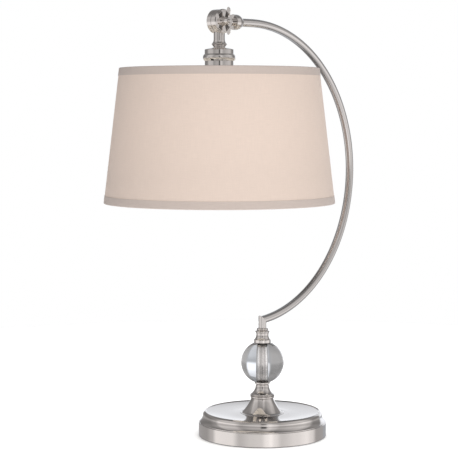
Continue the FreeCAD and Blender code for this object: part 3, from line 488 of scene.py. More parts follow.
def run_map(tree):
    return add_node(tree, "ShaderNodeUVMap", uv_map="Run").outputs["UV"]


def scaled(tree, vector, scale):
    return add_node(
        tree, "ShaderNodeMapping", {"Vector": vector, "Scale": scale}).outputs["Vector"]


def mottle(tree, coordinates, size, detail=3.0):
    """Soft noise whose blotches are about as large as size, in metres."""
    return add_node(
        tree, "ShaderNodeTexNoise",
        {"Vector": coordinates, "Scale": 1 / size, "Detail": detail, "Roughness": 0.55},
        noise_dimensions="3D").outputs["Fac"]


def streaks(tree, run, along, across):
    """Noise on the Run map, in streaks of a given size along the run and round it, in metres."""
    return add_node(
        tree, "ShaderNodeTexNoise",
        {"Vector": scaled(tree, run, (1 / along, 1 / across, 1.0)), "Scale": 1.0, "Detail": 3.0},
        noise_dimensions="2D").outputs["Fac"]


def work_out(tree, operation, *values):
    """A Math node's result."""
    return add_node(
        tree, "ShaderNodeMath", dict(enumerate(values)), operation=operation).outputs[0]


def spread(tree, value, low, high, from_low=0.3, from_high=0.7):
    """A value's usual range turned into low to high."""
    return add_node(tree, "ShaderNodeMapRange", {
        "Value": value, "From Min": from_low, "From Max": from_high, "To Min": low, "To Max": high,
    }).outputs[0]


def shade_between(tree, factor, first, second):
    """A colour between two colours."""
    mix = add_node(tree, "ShaderNodeMix", {0: factor, 6: solid(first), 7: solid(second)},
                   data_type="RGBA")
    return mix.outputs[2]


def bumps(tree, height, strength, distance):
    return add_node(tree, "ShaderNodeBump", {
        "Height": height, "Strength": strength, "Distance": distance}).outputs["Normal"]


def polished_nickel():
    # Polished nickel plate over turned brass: a clear, slightly warm mirror, with a faint haze
    # from wiping and hairline scratches.
    material, tree, shader = new_material("polished_nickel_plate")
    colour = bpy.context.scene.lamp_finishes.nickel
    place = object_place(tree)
    wiped = mottle(tree, place, 60 * MM, 4.0)
    hairlines = mottle(tree, scaled(tree, place, (0.25, 0.25, 1.0)), 0.35 * MM, 2.0)
    set_shader(
        tree, shader, Metallic=1.0, Roughness=spread(tree, wiped, 0.05, 0.11),
        Base_Color=shade_between(tree, wiped, darker(colour, 0.965), colour),
        Normal=bumps(tree, hairlines, 0.05, 0.01 * MM))
    return material


def brushed_nickel():
    """Nickel plate brushed along the tube. It needs the piece's Run map."""
    # Brushed nickel: fine lines along the tube spread each highlight across it.
    material, tree, shader = new_material("brushed_nickel_plate")
    colour = bpy.context.scene.lamp_finishes.arm_nickel
    # The real lines are some 0.05 mm apart. They are drawn 0.25 mm apart so that they show.
    lines = streaks(tree, run_map(tree), 25 * MM, 0.25 * MM)
    worn = mottle(tree, object_place(tree), 45 * MM)
    mixed = work_out(tree, "MULTIPLY", lines, worn)
    set_shader(
        tree, shader, Metallic=1.0, Roughness=spread(tree, mixed, 0.13, 0.22, 0.1, 0.45),
        Base_Color=shade_between(tree, lines, darker(colour, 0.93), colour),
        Normal=bumps(tree, lines, 0.16, 0.02 * MM))
    return material


def crystal_glass():
    # Lead-free crystal, ground and fire-polished: it bends light strongly and barely clouds it.
    material, tree, shader = new_material("crystal_glass")
    tint = bpy.context.scene.lamp_finishes.crystal
    ripple = mottle(tree, object_place(tree), 22 * MM, 1.5)
    set_shader(
        tree, shader, Transmission_Weight=1.0, IOR=1.52,
        Roughness=spread(tree, ripple, 0.0, 0.015),
        Base_Color=shade_between(tree, ripple, darker(tint, 0.985), tint),
        Normal=bumps(tree, ripple, 0.08, 0.05 * MM))
    return material


def woven_cloth(name, colour, glow=0.0):
    """Linen cloth on the piece's Run map: threads both ways, thick and thin."""
    # Woven linen: matt, with slubs where a thread thickens. The colour is darker between the
    # threads: painted shade in the gaps of the weave.
    material, tree, shader = new_material(name)
    run = run_map(tree)
    # Linen has about 0.5 mm from thread to thread. It is drawn coarser so that it shows.
    wave_scale = math.tau / (20 * bpy.context.scene.lamp_shade.thread_spacing)
    weft, warp = (
        add_node(
            tree, "ShaderNodeTexWave",
            {"Vector": run, "Scale": wave_scale, "Distortion": 0.9, "Detail": 1.0,
             "Detail Scale": 0.35},
            bands_direction=way).outputs["Fac"]
        for way in ("X", "Y"))
    thick = work_out(
        tree, "ADD", streaks(tree, run, 1.2 * MM, 16 * MM), streaks(tree, run, 20 * MM, 1.2 * MM))
    body = work_out(tree, "MULTIPLY_ADD", thick, 0.8, work_out(tree, "MAXIMUM", weft, warp))
    # Lighter on the slubs, and darker between the threads as painted shade.
    slubs_and_gap_shade = spread(tree, body, 0.0, 1.0, 0.9, 2.1)
    set_shader(
        tree, shader, Sheen_Weight=0.12, Sheen_Roughness=0.5, Specular_IOR_Level=0.25,
        Roughness=spread(tree, thick, 0.84, 0.95, 0.7, 1.3),
        Base_Color=shade_between(tree, slubs_and_gap_shade, darker(colour, 0.9), colour),
        Normal=bumps(tree, body, 0.5, 0.12 * MM))
    # The glow is painted light: an emission on the cloth for the bulb's light shining through it.
    if glow > 0:
        set_shader(
            tree, shader, Emission_Color=solid(bpy.context.scene.lamp_finishes.glow),
            Emission_Strength=work_out(
                tree, "MULTIPLY", lamplight(tree, thick), glow))
    return material


def lamplight(tree, thick):
    """Painted light through the cloth, as an emission on it: most near the bulb, and less where the
    threads are thick.
    """
    height = add_node(tree, "ShaderNodeSeparateXYZ", {"Vector": object_place(tree)}).outputs["Z"]
    bulb = middle("bulb_glass").z
    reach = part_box("shade_cover")[1].z - bulb
    share = work_out(
        tree, "DIVIDE", work_out(tree, "SUBTRACT", height, bulb - 0.01), reach * 1.25)
    fade = spread(tree, work_out(tree, "MULTIPLY", share, share), 1.0, 0.35, 0.0, 1.0)
    return work_out(tree, "MULTIPLY", fade, spread(tree, thick, 0.92, 1.04, 0.7, 1.3))


def plain_surface(name, colour, roughness, grain, depth, mottling=0.12, **more):
    """A plain surface with a grain of its own: blotches of colour, gloss and bump."""
    material, tree, shader = new_material(name)
    place = object_place(tree)
    fine = mottle(tree, place, grain, 4.0)
    broad = mottle(tree, place, grain * 18, 2.0)
    set_shader(
        tree, shader,
        Roughness=spread(tree, fine, roughness * 0.85, min(roughness * 1.15, 1)),
        Base_Color=shade_between(tree, broad, darker(colour, 1 - mottling), colour),
        Normal=bumps(tree, fine, 0.4, depth), **more)
    return material


# Plain materials by slot: name, colour, roughness, grain and depth of the bump, and the rest.
PLAIN = {
    # Sand-cast grey iron, unpainted: dark, rough and a little warm with rust.
    "cast_iron": ("cast_iron", "4A4542", 0.7, 0.9 * MM, 0.3 * MM, {"Metallic": 0.6}),
    # Bright zinc plate on steel: cool grey with a fine spangle.
    "zinc_steel": ("zinc_plated_steel", "B9BDC0", 0.32, 0.4 * MM, 0.02 * MM, {"Metallic": 1.0}),
    # Raw stamped brass: yellow, satin, with darker tarnish in blotches.
    "brass": ("stamped_brass", "C9A24C", 0.28, 0.3 * MM, 0.02 * MM, {"Metallic": 1.0}),
    # Rolled aluminium of a bulb cap: pale and satin.
    "bulb_metal": ("rolled_aluminium", "D2D3D4", 0.3, 0.3 * MM, 0.015 * MM, {"Metallic": 1.0}),
    # Moulded phenolic: near black, glossy, with a faint orange peel.
    "phenolic": ("moulded_phenolic", "1B1817", 0.22, 1.6 * MM, 0.03 * MM, {"IOR": 1.6}),
    # Black vitrified glass at a bulb's tip.
    "bulb_insulator": ("vitrified_glass", "16161A", 0.12, 1.2 * MM, 0.02 * MM, {"IOR": 1.52}),
    # Moulded rubber: dark grey and matt.
    "bush_rubber": ("moulded_rubber", "2B2A29", 0.75, 0.3 * MM, 0.03 * MM, {}),
    # Vulcanised fibre of a friction washer: dull brick red.
    "fibre": ("vulcanised_fibre", "7A3A30", 0.8, 0.35 * MM, 0.05 * MM, {}),
    # White powder enamel on wire: bright, half gloss, with a faint orange peel.
    "white_wire": (
        "white_enamel", "EDEBE6", 0.35, 0.8 * MM, 0.03 * MM, {"mottling": 0.03, "IOR": 1.5}),
    # Stiff styrene sheet behind the cloth: smooth, white and half matt.
    "shade_liner": (
        "styrene_liner", "EDE8E0", 0.55, 0.6 * MM, 0.02 * MM,
        {"mottling": 0.02, "Specular_IOR_Level": 0.35}),
}


def wool_felt():
    # Pressed wool felt: no gloss at all, and a soft pale bloom at the edges.
    return plain_surface(
        "wool_felt", bpy.context.scene.lamp_finishes.felt, 0.96, 0.5 * MM, 0.25 * MM,
        Sheen_Weight=0.5, Sheen_Roughness=0.6, Specular_IOR_Level=0.1)


def opal_glass():
    # Opal glass: milky white, glossy outside, with a soft warm light spread over all of it.
    finishes = bpy.context.scene.lamp_finishes
    return plain_surface(
        "opal_glass", linear("F6F2EA"), 0.16, 5 * MM, 0.01 * MM, mottling=0.03, IOR=1.5,
        Emission_Color=solid(finishes.glow), Emission_Strength=finishes.bulb_glow)


def linen_cover():
    finishes = bpy.context.scene.lamp_finishes
    return woven_cloth("linen_cloth", finishes.cloth, finishes.cloth_glow)


def linen_trim():
    # The trim's darker colour is painted shade: the same linen as the cloth, shaded.
    return woven_cloth("linen_trim", bpy.context.scene.lamp_finishes.trim)


MAKERS = {
    "polished_nickel": polished_nickel,
    "brushed_nickel": brushed_nickel,
    "crystal": crystal_glass,
    "felt": wool_felt,
    "opal_glass": opal_glass,
    "shade_cloth": linen_cover,
    "shade_trim": linen_trim,
}
made = {}


def finish_of(slot):
    """A material slot's name, and its material, which is made the first time it is asked for."""
    if slot not in made:
        if slot in PLAIN:
            name, hex_colour, roughness, grain, depth, more = PLAIN[slot]
            made[slot] = plain_surface(name, linear(hex_colour), roughness, grain, depth, **more)
        else:
            made[slot] = MAKERS[slot]()
    return slot, made[slot]


def refinish(slot, *nodes):
    """Give CAD nodes that stay in view a better material."""
    _, material = finish_of(slot)
    for node in nodes:
        slots = frame["nodes"][node].data.materials
        slots.clear()
        slots.append(material)


# ---- operators: base and neck ------------------------------------------------------------------

# How far the cups stand off the ball, then the radii of the holes for the bush, the nipple and
# the pivot screw, in millimetres.
BALL_GAP = 0.05
INLET_HOLE = 4.95
NIPPLE_HOLE = 5.05
SCREW_HOLE = 3.05


class LAMP_OT_base(bpy.types.Operator):
    """Model the spun base cover, the felt under it and the iron weight's fixings"""

    bl_idname = "lamp.base"
    bl_label = "Base"

    def execute(self, context):
        radius, _, top = turned_size("base_shell")
        wall = context.scene.lamp_metalwork.sheet_wall / MM
        bore = context.scene.lamp_metalwork.clear_bore / MM
        rim_top = top - 17.0
        cove_head = top - 6.7
        cove_foot_radius = radius - 1.7
        cove_head_radius = radius - 6.7
        lip_radius = radius - 10.0
        deck_radius = radius * 0.374
        deck = top - 2.7
        outline = [
            (radius - 0.4, 1.0), (radius, 1.4, 0.5), (radius, rim_top - 0.7),
            (radius - 0.7, rim_top, 0.7), (cove_foot_radius, rim_top),
            (cove_foot_radius, rim_top + 1.0), (cove_head_radius, cove_head, -14),
            (cove_head_radius, cove_head + 0.8), (lip_radius, top, 6),
            (lip_radius - 1.4, top, 0.9), (lip_radius - 2.7, top - 0.9),
            (deck_radius, deck, -300), (bore, deck), (bore, deck - wall),
            (deck_radius, deck - wall), (lip_radius - 3.4, top - 2.6, 290),
            (lip_radius - 0.6, top - 2.9), (cove_head_radius - 2.3, cove_head),
            (cove_foot_radius - 2.5, rim_top), (radius - wall, rim_top - 1.6),
            (radius - wall, 1.0),
        ]
        cover = turn("base_shell_piece", outline, steps=192)
        self.cut_inlet(cover)
        smooth(cover)
        fit(cover, "stand", *finish_of("polished_nickel"), "base_shell")
        felt_radius, _, felt_top = turned_size("base_felt")
        felt = turned_piece("base_felt", [
            (0, 0), (felt_radius - 0.6, 0), (felt_radius, 0.6, 0.6), (felt_radius, felt_top),
            (0, felt_top),
        ], finish_of("felt"), steps=128, ease=0)
        refinish("cast_iron", "base_weight")
        refinish("zinc_steel", "base_washer", "base_nut", "threaded_pipe")
        self.model_bush()
        return {"FINISHED"}

    def cut_inlet(self, cover):
        """Cut the lead inlet through the rim, where the bush sits."""
        place = (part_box("cord_inlet_bush")[0].x, 0, middle("cord_inlet_bush").z)
        drill_across(cover, INLET_HOLE * MM, 12 * MM, place, 48)

    def model_bush(self):
        centre = Vector((0, 0, middle("cord_inlet_bush").z))
        outside = turned_size("base_shell")[0]
        inside = outside - 1.5
        bore, neck, barb, flange = 3.4, 4.9, 5.9, 6.5
        turned_piece("cord_inlet_bush", [
            (bore, inside - 1.2), (barb, inside - 1.2), (barb, inside - 0.3),
            (neck, inside - 0.3), (neck, outside + 0.1), (flange, outside + 0.1),
            (flange, outside + 0.7), (4.2, outside + 1.9, 4), (bore, outside + 1.1, 0.8),
        ], finish_of("bush_rubber"), origin=centre, axis=X_AXIS, steps=64, ease=0.12 * MM)


class LAMP_OT_neck(bpy.types.Operator):
    """Model the turned bell, ring, flare and seat that carry the ball"""

    bl_idname = "lamp.neck"
    bl_label = "Neck"

    def execute(self, context):
        nickel = finish_of("polished_nickel")
        bore = context.scene.lamp_metalwork.clear_bore / MM
        radius, foot, top = turned_size("neck_bell")
        neck, top_radius = top - 6.8, 17.6
        turned_piece("neck_bell", [
            (radius, foot), (radius, foot + 0.7), (radius - 4.9, foot + 2.7, -6),
            (top_radius + 3.0, neck, -90), (top_radius, top, -30), (bore, top), (bore, top - 4.3),
            (top_radius - 3.6, top - 4.3), (radius - 4.0, foot),
        ], nickel, steps=144)
        _, foot, top = turned_size("neck_ring")
        radius = 19.7
        turned_piece("neck_ring", [
            (radius - 1.7, foot), (radius - 0.7, foot + 1.9, 1.6), (radius, top - 1.0, -6),
            (radius - 0.8, top, 0.75), (bore, top), (bore, foot),
        ], nickel)
        radius, foot, top = turned_size("neck_flare")
        flare_top = 10.7
        turned_piece("neck_flare", [
            (radius, foot), (radius, foot + 0.8), (radius - 0.8, foot + 1.4),
            (flare_top, top - 1.2, -17), (flare_top, top), (bore, top), (bore, foot),
        ], nickel)
        self.model_seat(nickel, bore, top)
        return {"FINISHED"}

    def model_seat(self, nickel, bore, foot):
        """A shallow cup whose top follows the ball."""
        radius = 12.3
        ball, centre = ball_size()
        edge = radius - 0.5
        cup, step, (edge_rise, step_rise) = cup_over_ball(ball, edge)
        edge_height, step_height = centre - edge_rise, centre - step_rise
        turned_piece("ball_seat", [
            (9.9, foot), (9.9, foot + 0.5), (radius - 0.1, foot + 2.6, -2.6),
            (radius, edge_height - 0.5), (edge, edge_height, 0.55), (step, step_height, -cup),
            (bore, step_height), (bore, foot),
        ], nickel)


def ball_size():
    """The ball's radius and the height of its centre, in millimetres."""
    return half_width("crystal_ball", 1) / MM, middle("crystal_ball").z / MM


def ball_bore():
    """Radius of the hole through the ball, in millimetres."""
    return bpy.context.scene.lamp_glass.ball_bore / MM


def cup_over_ball(ball, edge):
    """A cup's radius, the radius of its inner step, and how far edge and step are off centre."""
    cup, step = ball + BALL_GAP, ball_bore() - 0.1
    return cup, step, [math.sqrt(cup ** 2 - across ** 2) for across in (edge, step)]


class LAMP_OT_ball(bpy.types.Operator):
    """Model the crystal ball, the sleeve inside it, its cap and the rings under the post"""

    bl_idname = "lamp.ball"
    bl_label = "Crystal ball"

    def execute(self, context):
        nickel = finish_of("polished_nickel")
        bore = context.scene.lamp_metalwork.clear_bore / MM
        ball, centre = ball_size()
        hole = ball_bore()
        half = math.sqrt(ball ** 2 - hole ** 2)
        turned_piece("crystal_ball", [
            (hole, centre - half), (ball, centre, ball), (hole, centre + half, ball),
        ], finish_of("crystal"), angle=50, steps=144, ease=0)
        turned_piece("ball_sleeve", [
            (6.5, centre - half + 0.1), (6.5, centre + half - 0.1), (bore, centre + half - 0.1),
            (bore, centre - half + 0.1),
        ], nickel, steps=64, ease=0)
        self.model_cap(nickel, bore, ball, centre)
        _, foot, top = turned_size("cap_ring")
        ring, collar = 10.4, 8.6
        turned_piece("cap_ring", [
            (bore, foot), (ring, foot), (ring, top, 1.8), (bore, top),
        ], nickel)
        _, foot, top = turned_size("post_collar")
        turned_piece("post_collar", [
            (bore, foot), (collar, foot), (collar, foot + 0.7), (collar, top - 0.6, 1.5),
            (collar, top),
            (bore, top),
        ], nickel, ease=0.12 * MM)
        return {"FINISHED"}

    def model_cap(self, nickel, bore, ball, centre):
        """The cap over the ball. Its foot follows the ball, and its neck is drawn in."""
        radius, _, top = turned_size("ball_cap")
        edge = radius - 0.6
        cup, step, (edge_rise, step_rise) = cup_over_ball(ball, edge)
        edge_height, step_height = centre + edge_rise, centre + step_rise
        turned_piece("ball_cap", [
            (bore, step_height), (step, step_height), (edge, edge_height, -cup),
            (radius, edge_height + 0.6, 0.62), (radius, edge_height + 4.6),
            (radius - 0.7, edge_height + 5.3, 0.72), (radius - 1.3, edge_height + 5.9),
            (9.8, top - 3.4, -12), (10.4, top, -14), (bore, top),
        ], nickel)


# ---- operators: arm and knuckle ----------------------------------------------------------------

class LAMP_OT_arm(bpy.types.Operator):
    """Model the mitred post, the bowed arm tube and its ferrule"""

    bl_idname = "lamp.arm"
    bl_label = "Arm"

    def execute(self, context):
        sizes = context.scene.lamp_metalwork
        low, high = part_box("arm_tube")
        radius = sizes.tube_radius
        bend = sizes.arm_bend
        centre = Vector((high.x - radius - bend, 0, high.z - radius - bend))
        corner = Vector((0, 0, centre.z - math.sqrt(bend ** 2 - centre.x ** 2)))
        climb = math.asin(-centre.x / bend)
        lean = math.radians(45) + climb / 2
        mitre = Vector((math.sin(lean), 0, math.cos(lean)))
        self.bend_arm(sizes, low.x, centre, corner, mitre, climb)
        self.cut_post(sizes, corner, mitre)
        self.turn_ferrule(low.x, high.z - radius)
        return {"FINISHED"}

    def bend_arm(self, sizes, end, centre, corner, mitre, climb):
        """A ring drawn out level, then spun down round the bend's centre, then mitred."""
        radius, bend = sizes.tube_radius, sizes.arm_bend
        tube = hoop(
            "arm_tube_piece", radius, (end, 0, centre.z + bend), rotation=(0, math.pi / 2, 0))
        extrude((centre.x - end, 0, 0))
        pick(tube, "verts", lambda vertex: vertex.co.x > centre.x - MM / 10)
        sweep = math.pi - climb + math.radians(3.5)
        bpy.ops.mesh.spin(steps=150, angle=-sweep, center=centre, axis=Y_AXIS)
        select_all()
        bpy.ops.mesh.bisect(plane_co=corner, plane_no=mitre, clear_inner=True)
        weld_and_leave()

        def place(point):
            if point.x < centre.x and point.z > centre.z:
                away = point - Vector((point.x, 0, centre.z + bend))
                return point.x - end, math.atan2(away.y, away.z)
            out = Vector((point.x - centre.x, point.z - centre.z))
            along = (centre.x - end) + bend * (math.atan2(out.x, out.y) % math.tau)
            return along, math.atan2(point.y, out.length - bend)

        self.finish_tube(tube, sizes, place)
        fit(tube, "stand", *finish_of("brushed_nickel"), "arm_tube")

    def cut_post(self, sizes, corner, mitre):
        """The short upright tube, cut to the same mitre."""
        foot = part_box("arm_post")[0].z
        post = hoop("arm_post_piece", sizes.tube_radius, (0, 0, foot))
        extrude((0, 0, corner.z - foot + 12 * MM))
        select_all()
        bpy.ops.mesh.bisect(plane_co=corner, plane_no=mitre, clear_outer=True)
        weld_and_leave()
        self.finish_tube(post, sizes, lambda point: (point.z, math.atan2(point.y, point.x)))
        fit(post, "stand", *finish_of("brushed_nickel"), "arm_post")

    def finish_tube(self, tube, sizes, place):
        modify(tube, "SOLIDIFY", thickness=sizes.tube_wall, offset=-1.0, use_rim=True)
        modify(tube, "BEVEL", width=0.12 * MM, segments=2, limit_method="ANGLE",
               angle_limit=math.radians(40))
        unwrap(tube, place, sizes.tube_radius)
        smooth(tube)

    def turn_ferrule(self, tube_end, pivot_height):
        """The domed collar at the knuckle, turned about the arm's level end."""
        low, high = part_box("arm_ferrule")
        face, end = low.x / MM, high.x / MM
        radius = half_width("arm_ferrule", 1) / MM
        tube = bpy.context.scene.lamp_metalwork.tube_radius / MM
        turned_piece("arm_ferrule", [
            (NIPPLE_HOLE, face), (radius - 0.9, face), (radius, face + 0.9, 0.9),
            (radius, face + 4.0), (tube + 1.4, end - 1.6, 16), (tube + 0.3, end, -2.6),
            (tube + 0.05, end), (tube + 0.05, tube_end / MM), (NIPPLE_HOLE, tube_end / MM),
        ], finish_of("polished_nickel"), origin=Vector((0, 0, pivot_height)), axis=X_AXIS,
            ease=0.12 * MM)


def pivot():
    """The knuckle's pivot, which the shade tilts about."""
    joint = next(item for item in frame["joints"] if item["name"] == "shade_tilt")
    return Vector(joint["pos_m"])


OUTWARDS = -Y_AXIS


class LAMP_OT_knuckle(bpy.types.Operator):
    """Model the two halves of the swivel knuckle, the stem and the pivot screw"""

    bl_idname = "lamp.knuckle"
    bl_label = "Knuckle"

    gap = 0.25
    radius = 18.5
    half = 10.5
    clear = 18.9

    def execute(self, context):
        nickel = finish_of("polished_nickel")
        centre = pivot()
        self.model_front(centre, nickel)
        self.model_rear(centre, nickel)
        self.model_screw(centre)
        refinish("fibre", "friction_washer")
        refinish("zinc_steel", "stop_pin")
        turned_piece("wing_washer", [
            (SCREW_HOLE, self.half + 0.05), (7.6, self.half + 0.05), (7.6, self.half + 1.05),
            (SCREW_HOLE, self.half + 1.05),
        ], nickel, origin=centre, axis=OUTWARDS, steps=64, ease=0.15 * MM)
        return {"FINISHED"}

    def half_drum(self, name, centre, side):
        """One half of the drum. side is +1 towards the wing nut, -1 away from it."""
        face = self.half
        points = [
            (SCREW_HOLE, self.gap), (5.0, self.gap), (5.0, 6.0), (10.5, 6.0), (10.5, self.gap),
            (self.radius, self.gap), (self.radius, face - 1.7), (self.radius - 1.2, face - 0.5),
            (self.radius - 3.0, face - 0.5), (self.radius - 3.4, face), (SCREW_HOLE, face),
        ]
        outline = [(across, up * side) for across, up in points]
        return turn(name, outline, centre, OUTWARDS, steps=128)

    def relief(self, centre, start, stop):
        """A disc that clears the space of the other half."""
        return turn("relief", [
            (0, start), (self.clear, start), (self.clear, stop), (0, stop),
        ], centre, OUTWARDS, steps=128, ease=0)

    def model_front(self, centre, nickel):
        drum = self.half_drum("knuckle_front_half_piece", centre, 1)
        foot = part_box("knuckle_front_half")[0].z / MM
        stem = turn("stem", [
            (0, foot), (9.5, foot), (10.0, foot + 0.7), (11.8, foot + 3.4, -7),
            (11.8, foot + 4.2, 0.45), (8.7, foot + 10.5, -11), (8.7, centre.z / MM - 11.5),
            (0, centre.z / MM - 11.5),
        ], Vector((centre.x, 0, 0)), Z_AXIS, steps=96, ease=0.15 * MM)
        boolean(stem, self.relief(centre, -self.half - 1, self.gap), "DIFFERENCE")
        boolean(drum, stem, "UNION")
        self.finish_half(drum, "shade_head", nickel, "knuckle_front_half")

    def model_rear(self, centre, nickel):
        drum = self.half_drum("knuckle_rear_half_piece", centre, -1)
        reach = (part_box("knuckle_rear_half")[1].x - centre.x) / MM
        face = (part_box("arm_ferrule")[0].x - centre.x) / MM
        spigot = turn("spigot", [
            (0, 11.5), (6.0, 11.5), (6.0, face), (5.0, face), (5.0, reach), (0, reach),
        ], centre, X_AXIS, steps=64, ease=0)
        boolean(spigot, self.relief(centre, -self.gap, self.half + 1), "DIFFERENCE")
        boolean(drum, spigot, "UNION")
        self.finish_half(drum, "stand", nickel, "knuckle_rear_half")

    def finish_half(self, drum, body, nickel, node):
        edit(drum)
        weld_and_leave()
        smooth(drum, 28)
        fit(drum, body, *nickel, node)

    def model_screw(self, centre):
        """The pivot screw: a domed head at the back, a plain shank and a threaded tip."""
        face, tip, shank = self.half, 24.6, 3.0
        pitch = bpy.context.scene.lamp_metalwork.thread_pitch / MM
        start = face + 2.0
        turns = int((tip - 0.6 - start) / pitch)
        thread = []
        for number in range(turns):
            low = start + number * pitch
            thread.append((shank - 0.42, low + pitch * 0.5))
            thread.append((shank, low + pitch))
        head_dome = (7.0 ** 2 + 2.9 ** 2) / (2 * 2.9)
        outline = [
            (0, -face - 3.8), (7.0, -face - 0.9, head_dome), (7.0, -face), (shank, -face),
            (shank, start),
        ] + thread + [(shank - 0.6, tip), (0, tip)]
        screw = turn("pivot_screw_piece", outline, centre, OUTWARDS, steps=64, ease=0.08 * MM)
        pass_over()
        bpy.ops.mesh.primitive_cube_add(
            size=1, location=centre - OUTWARDS * (face + 3.8) * MM,
            scale=(1.3 * MM, 2.6 * MM, 20 * MM))
        boolean(screw, bpy.context.object, "DIFFERENCE")
        smooth(screw)
        fit(screw, "stand", *finish_of("polished_nickel"), "pivot_screw")


class LAMP_OT_wing_nut(bpy.types.Operator):
    """Model the cast wing nut: a tapered hub and two thin blades"""

    bl_idname = "lamp.wing_nut"
    bl_label = "Wing nut"

    def execute(self, context):
        centre = pivot()
        thickness = context.scene.lamp_metalwork.blade_thickness
        foot = (centre.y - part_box("wing_nut")[1].y) / MM
        top = foot + 10.05
        hub = turn("wing_nut_piece", [
            (3.06, foot), (6.4, foot), (6.4, foot + 1.4), (5.2, top - 0.8), (4.4, top, 0.9),
            (3.06, top),
        ], centre, OUTWARDS, steps=64, ease=0.15 * MM)
        half = [
            (3.6, foot + 1.0), (5.6, foot + 1.0), (12.5, foot + 3.0, -14), (20.0, foot + 6.2),
            (20.9, foot + 8.6, 2.2), (16.0, foot + 11.9, 7.5), (8.4, foot + 9.4, 11),
            (4.6, foot + 8.8, -6), (3.6, foot + 8.8),
        ]
        for side in (1, -1):
            blade = self.model_blade(centre, half, side, thickness)
            boolean(hub, blade, "UNION")
        edit(hub)
        weld_and_leave()
        modify(hub, "BEVEL", width=0.25 * MM, segments=2, limit_method="ANGLE",
               angle_limit=math.radians(50))
        smooth(hub, 40)
        fit(hub, "clamp_nut", *finish_of("polished_nickel"), "wing_nut")
        return {"FINISHED"}

    def model_blade(self, centre, half, side, thickness):
        """One blade: its outline filled, drawn out to its thickness and thinned to the tip."""
        places = [
            centre + Z_AXIS * (spot.x * side * MM) + OUTWARDS * (spot.y * MM)
            - X_AXIS * thickness / 2
            for spot in flat_points(half)
        ]
        blade = draw("blade", places)
        weld(turn_outwards=False)
        select_all()
        bpy.ops.mesh.edge_face_add()
        extrude((thickness, 0, 0))
        weld_and_leave()
        settle(blade)
        edit(blade)
        for reach, share in ((10, 0.86), (15, 0.8), (19, 0.75)):
            pick(blade, "verts", lambda vertex: abs(vertex.co.z - centre.z) > reach * MM)
            bpy.ops.transform.resize(value=(share, 1, 1), center_override=centre)
        object_mode()
        return blade


# ---- operators: lampholder, switch and bulb ----------------------------------------------------

class LAMP_OT_lampholder(bpy.types.Operator):
    """Model the nickel husk, the lampholder in it and the rings that clamp the shade"""

    bl_idname = "lamp.lampholder"
    bl_label = "Lampholder"

    def execute(self, context):
        axis = upright_axis("socket_husk")
        self.model_husk(axis)
        radius, foot, top = turned_size("stem_washer")
        turned_piece("stem_washer", [
            (NIPPLE_HOLE, foot), (radius, foot), (radius, top), (NIPPLE_HOLE, top),
        ], finish_of("polished_nickel"), "shade_head", origin=axis, steps=64)
        self.model_body(axis)
        self.model_fitter(axis)
        refinish("zinc_steel", "husk_nut", "stem_nipple")
        refinish("brass", "socket_screw_shell", "socket_contact")
        refinish("phenolic", "socket_cap")
        return {"FINISHED"}

    def model_husk(self, axis):
        """The plated cup: low domed top, round bead and straight skirt."""
        _, foot, top = turned_size("socket_husk")
        radius, wall = 22.3, 0.8
        shoulder = top - 4.0
        bead_foot, bead_head = foot + 27.4, foot + 37.0
        inner = radius - wall
        husk = turn("socket_husk_piece", [
            (radius, foot), (radius, bead_foot - 0.4), (radius + 1, bead_foot),
            (radius + 1, bead_head, 7.0), (radius + 0.2, bead_head + 0.5),
            (radius + 0.2, shoulder), (radius - 0.9, shoulder + 1.3, 1.3), (10, top - 0.1, 48),
            (NIPPLE_HOLE, top), (NIPPLE_HOLE, top - 1.0), (10, top - 1.1),
            (inner - 0.6, shoulder + 0.2), (inner, shoulder - 0.6), (inner, foot),
        ], axis, steps=128)
        place = (axis.x - radius * MM, 0, middle("switch_shaft").z)
        drill_across(husk, 2.4 * MM, 8 * MM, place, 32)
        smooth(husk)
        fit(husk, "shade_head", *finish_of("polished_nickel"), "socket_husk")

    def model_body(self, axis):
        """The moulded lampholder, with a rolled mouth and the shade's thread round its skirt."""
        radius, foot, top = turned_size("socket_body")
        inside = 15.8
        thread_top = foot + 14.5
        pitch = 2.2
        thread = []
        for number in range(6):
            low = foot + 0.8 + number * pitch
            thread.extend([(radius - 0.5, low), (radius, low + pitch * 0.4)])
            thread.append((radius, low + pitch * 0.6))
        turned_piece("socket_body", [(inside, foot), (radius - 0.5, foot)] + thread + [
            (radius - 0.5, thread_top), (18.6, foot + 15.9), (18.6, top), (2, top),
            (2, top - 4.0), (inside, top - 4.0),
        ], finish_of("phenolic"), "shade_head", origin=axis, ease=0.1 * MM)

    def model_fitter(self, axis):
        """The shade's fitter ring and the ring that screws up under it."""
        white = finish_of("white_wire")
        radius, foot, top = turned_size("shade_fitter_ring")
        turned_piece("shade_fitter_ring", [
            (20.3, foot), (radius, foot), (radius, top), (20.3, top),
        ], white, "shade_head", origin=axis, ease=0.3 * MM)
        radius, foot, top = turned_size("shade_clamp_ring")
        ring = turn("shade_clamp_ring_piece", [
            (20.05, foot), (radius - 1.0, foot), (radius, foot + 1.0), (radius, top), (20.05, top),
        ], axis, steps=120, ease=0)
        edit(ring, "FACE")
        side = radius * MM * 0.985
        pick(ring, "faces", lambda face: is_rib(face, axis, side))
        bpy.ops.mesh.extrude_region_shrink_fatten(TRANSFORM_OT_shrink_fatten={"value": -0.35 * MM})
        object_mode()
        smooth(ring)
        fit(ring, "shade_head", *white, "shade_clamp_ring")


def is_rib(face, axis, side):
    """True for every second pair of faces round the outside of a ring."""
    away = face.calc_center_median() - axis
    if math.hypot(away.x, away.y) < side or abs(face.normal.z) > 0.3:
        return False
    turn_share = (math.atan2(away.y, away.x) / math.tau) % 1
    return int(turn_share * 60) % 2 == 0


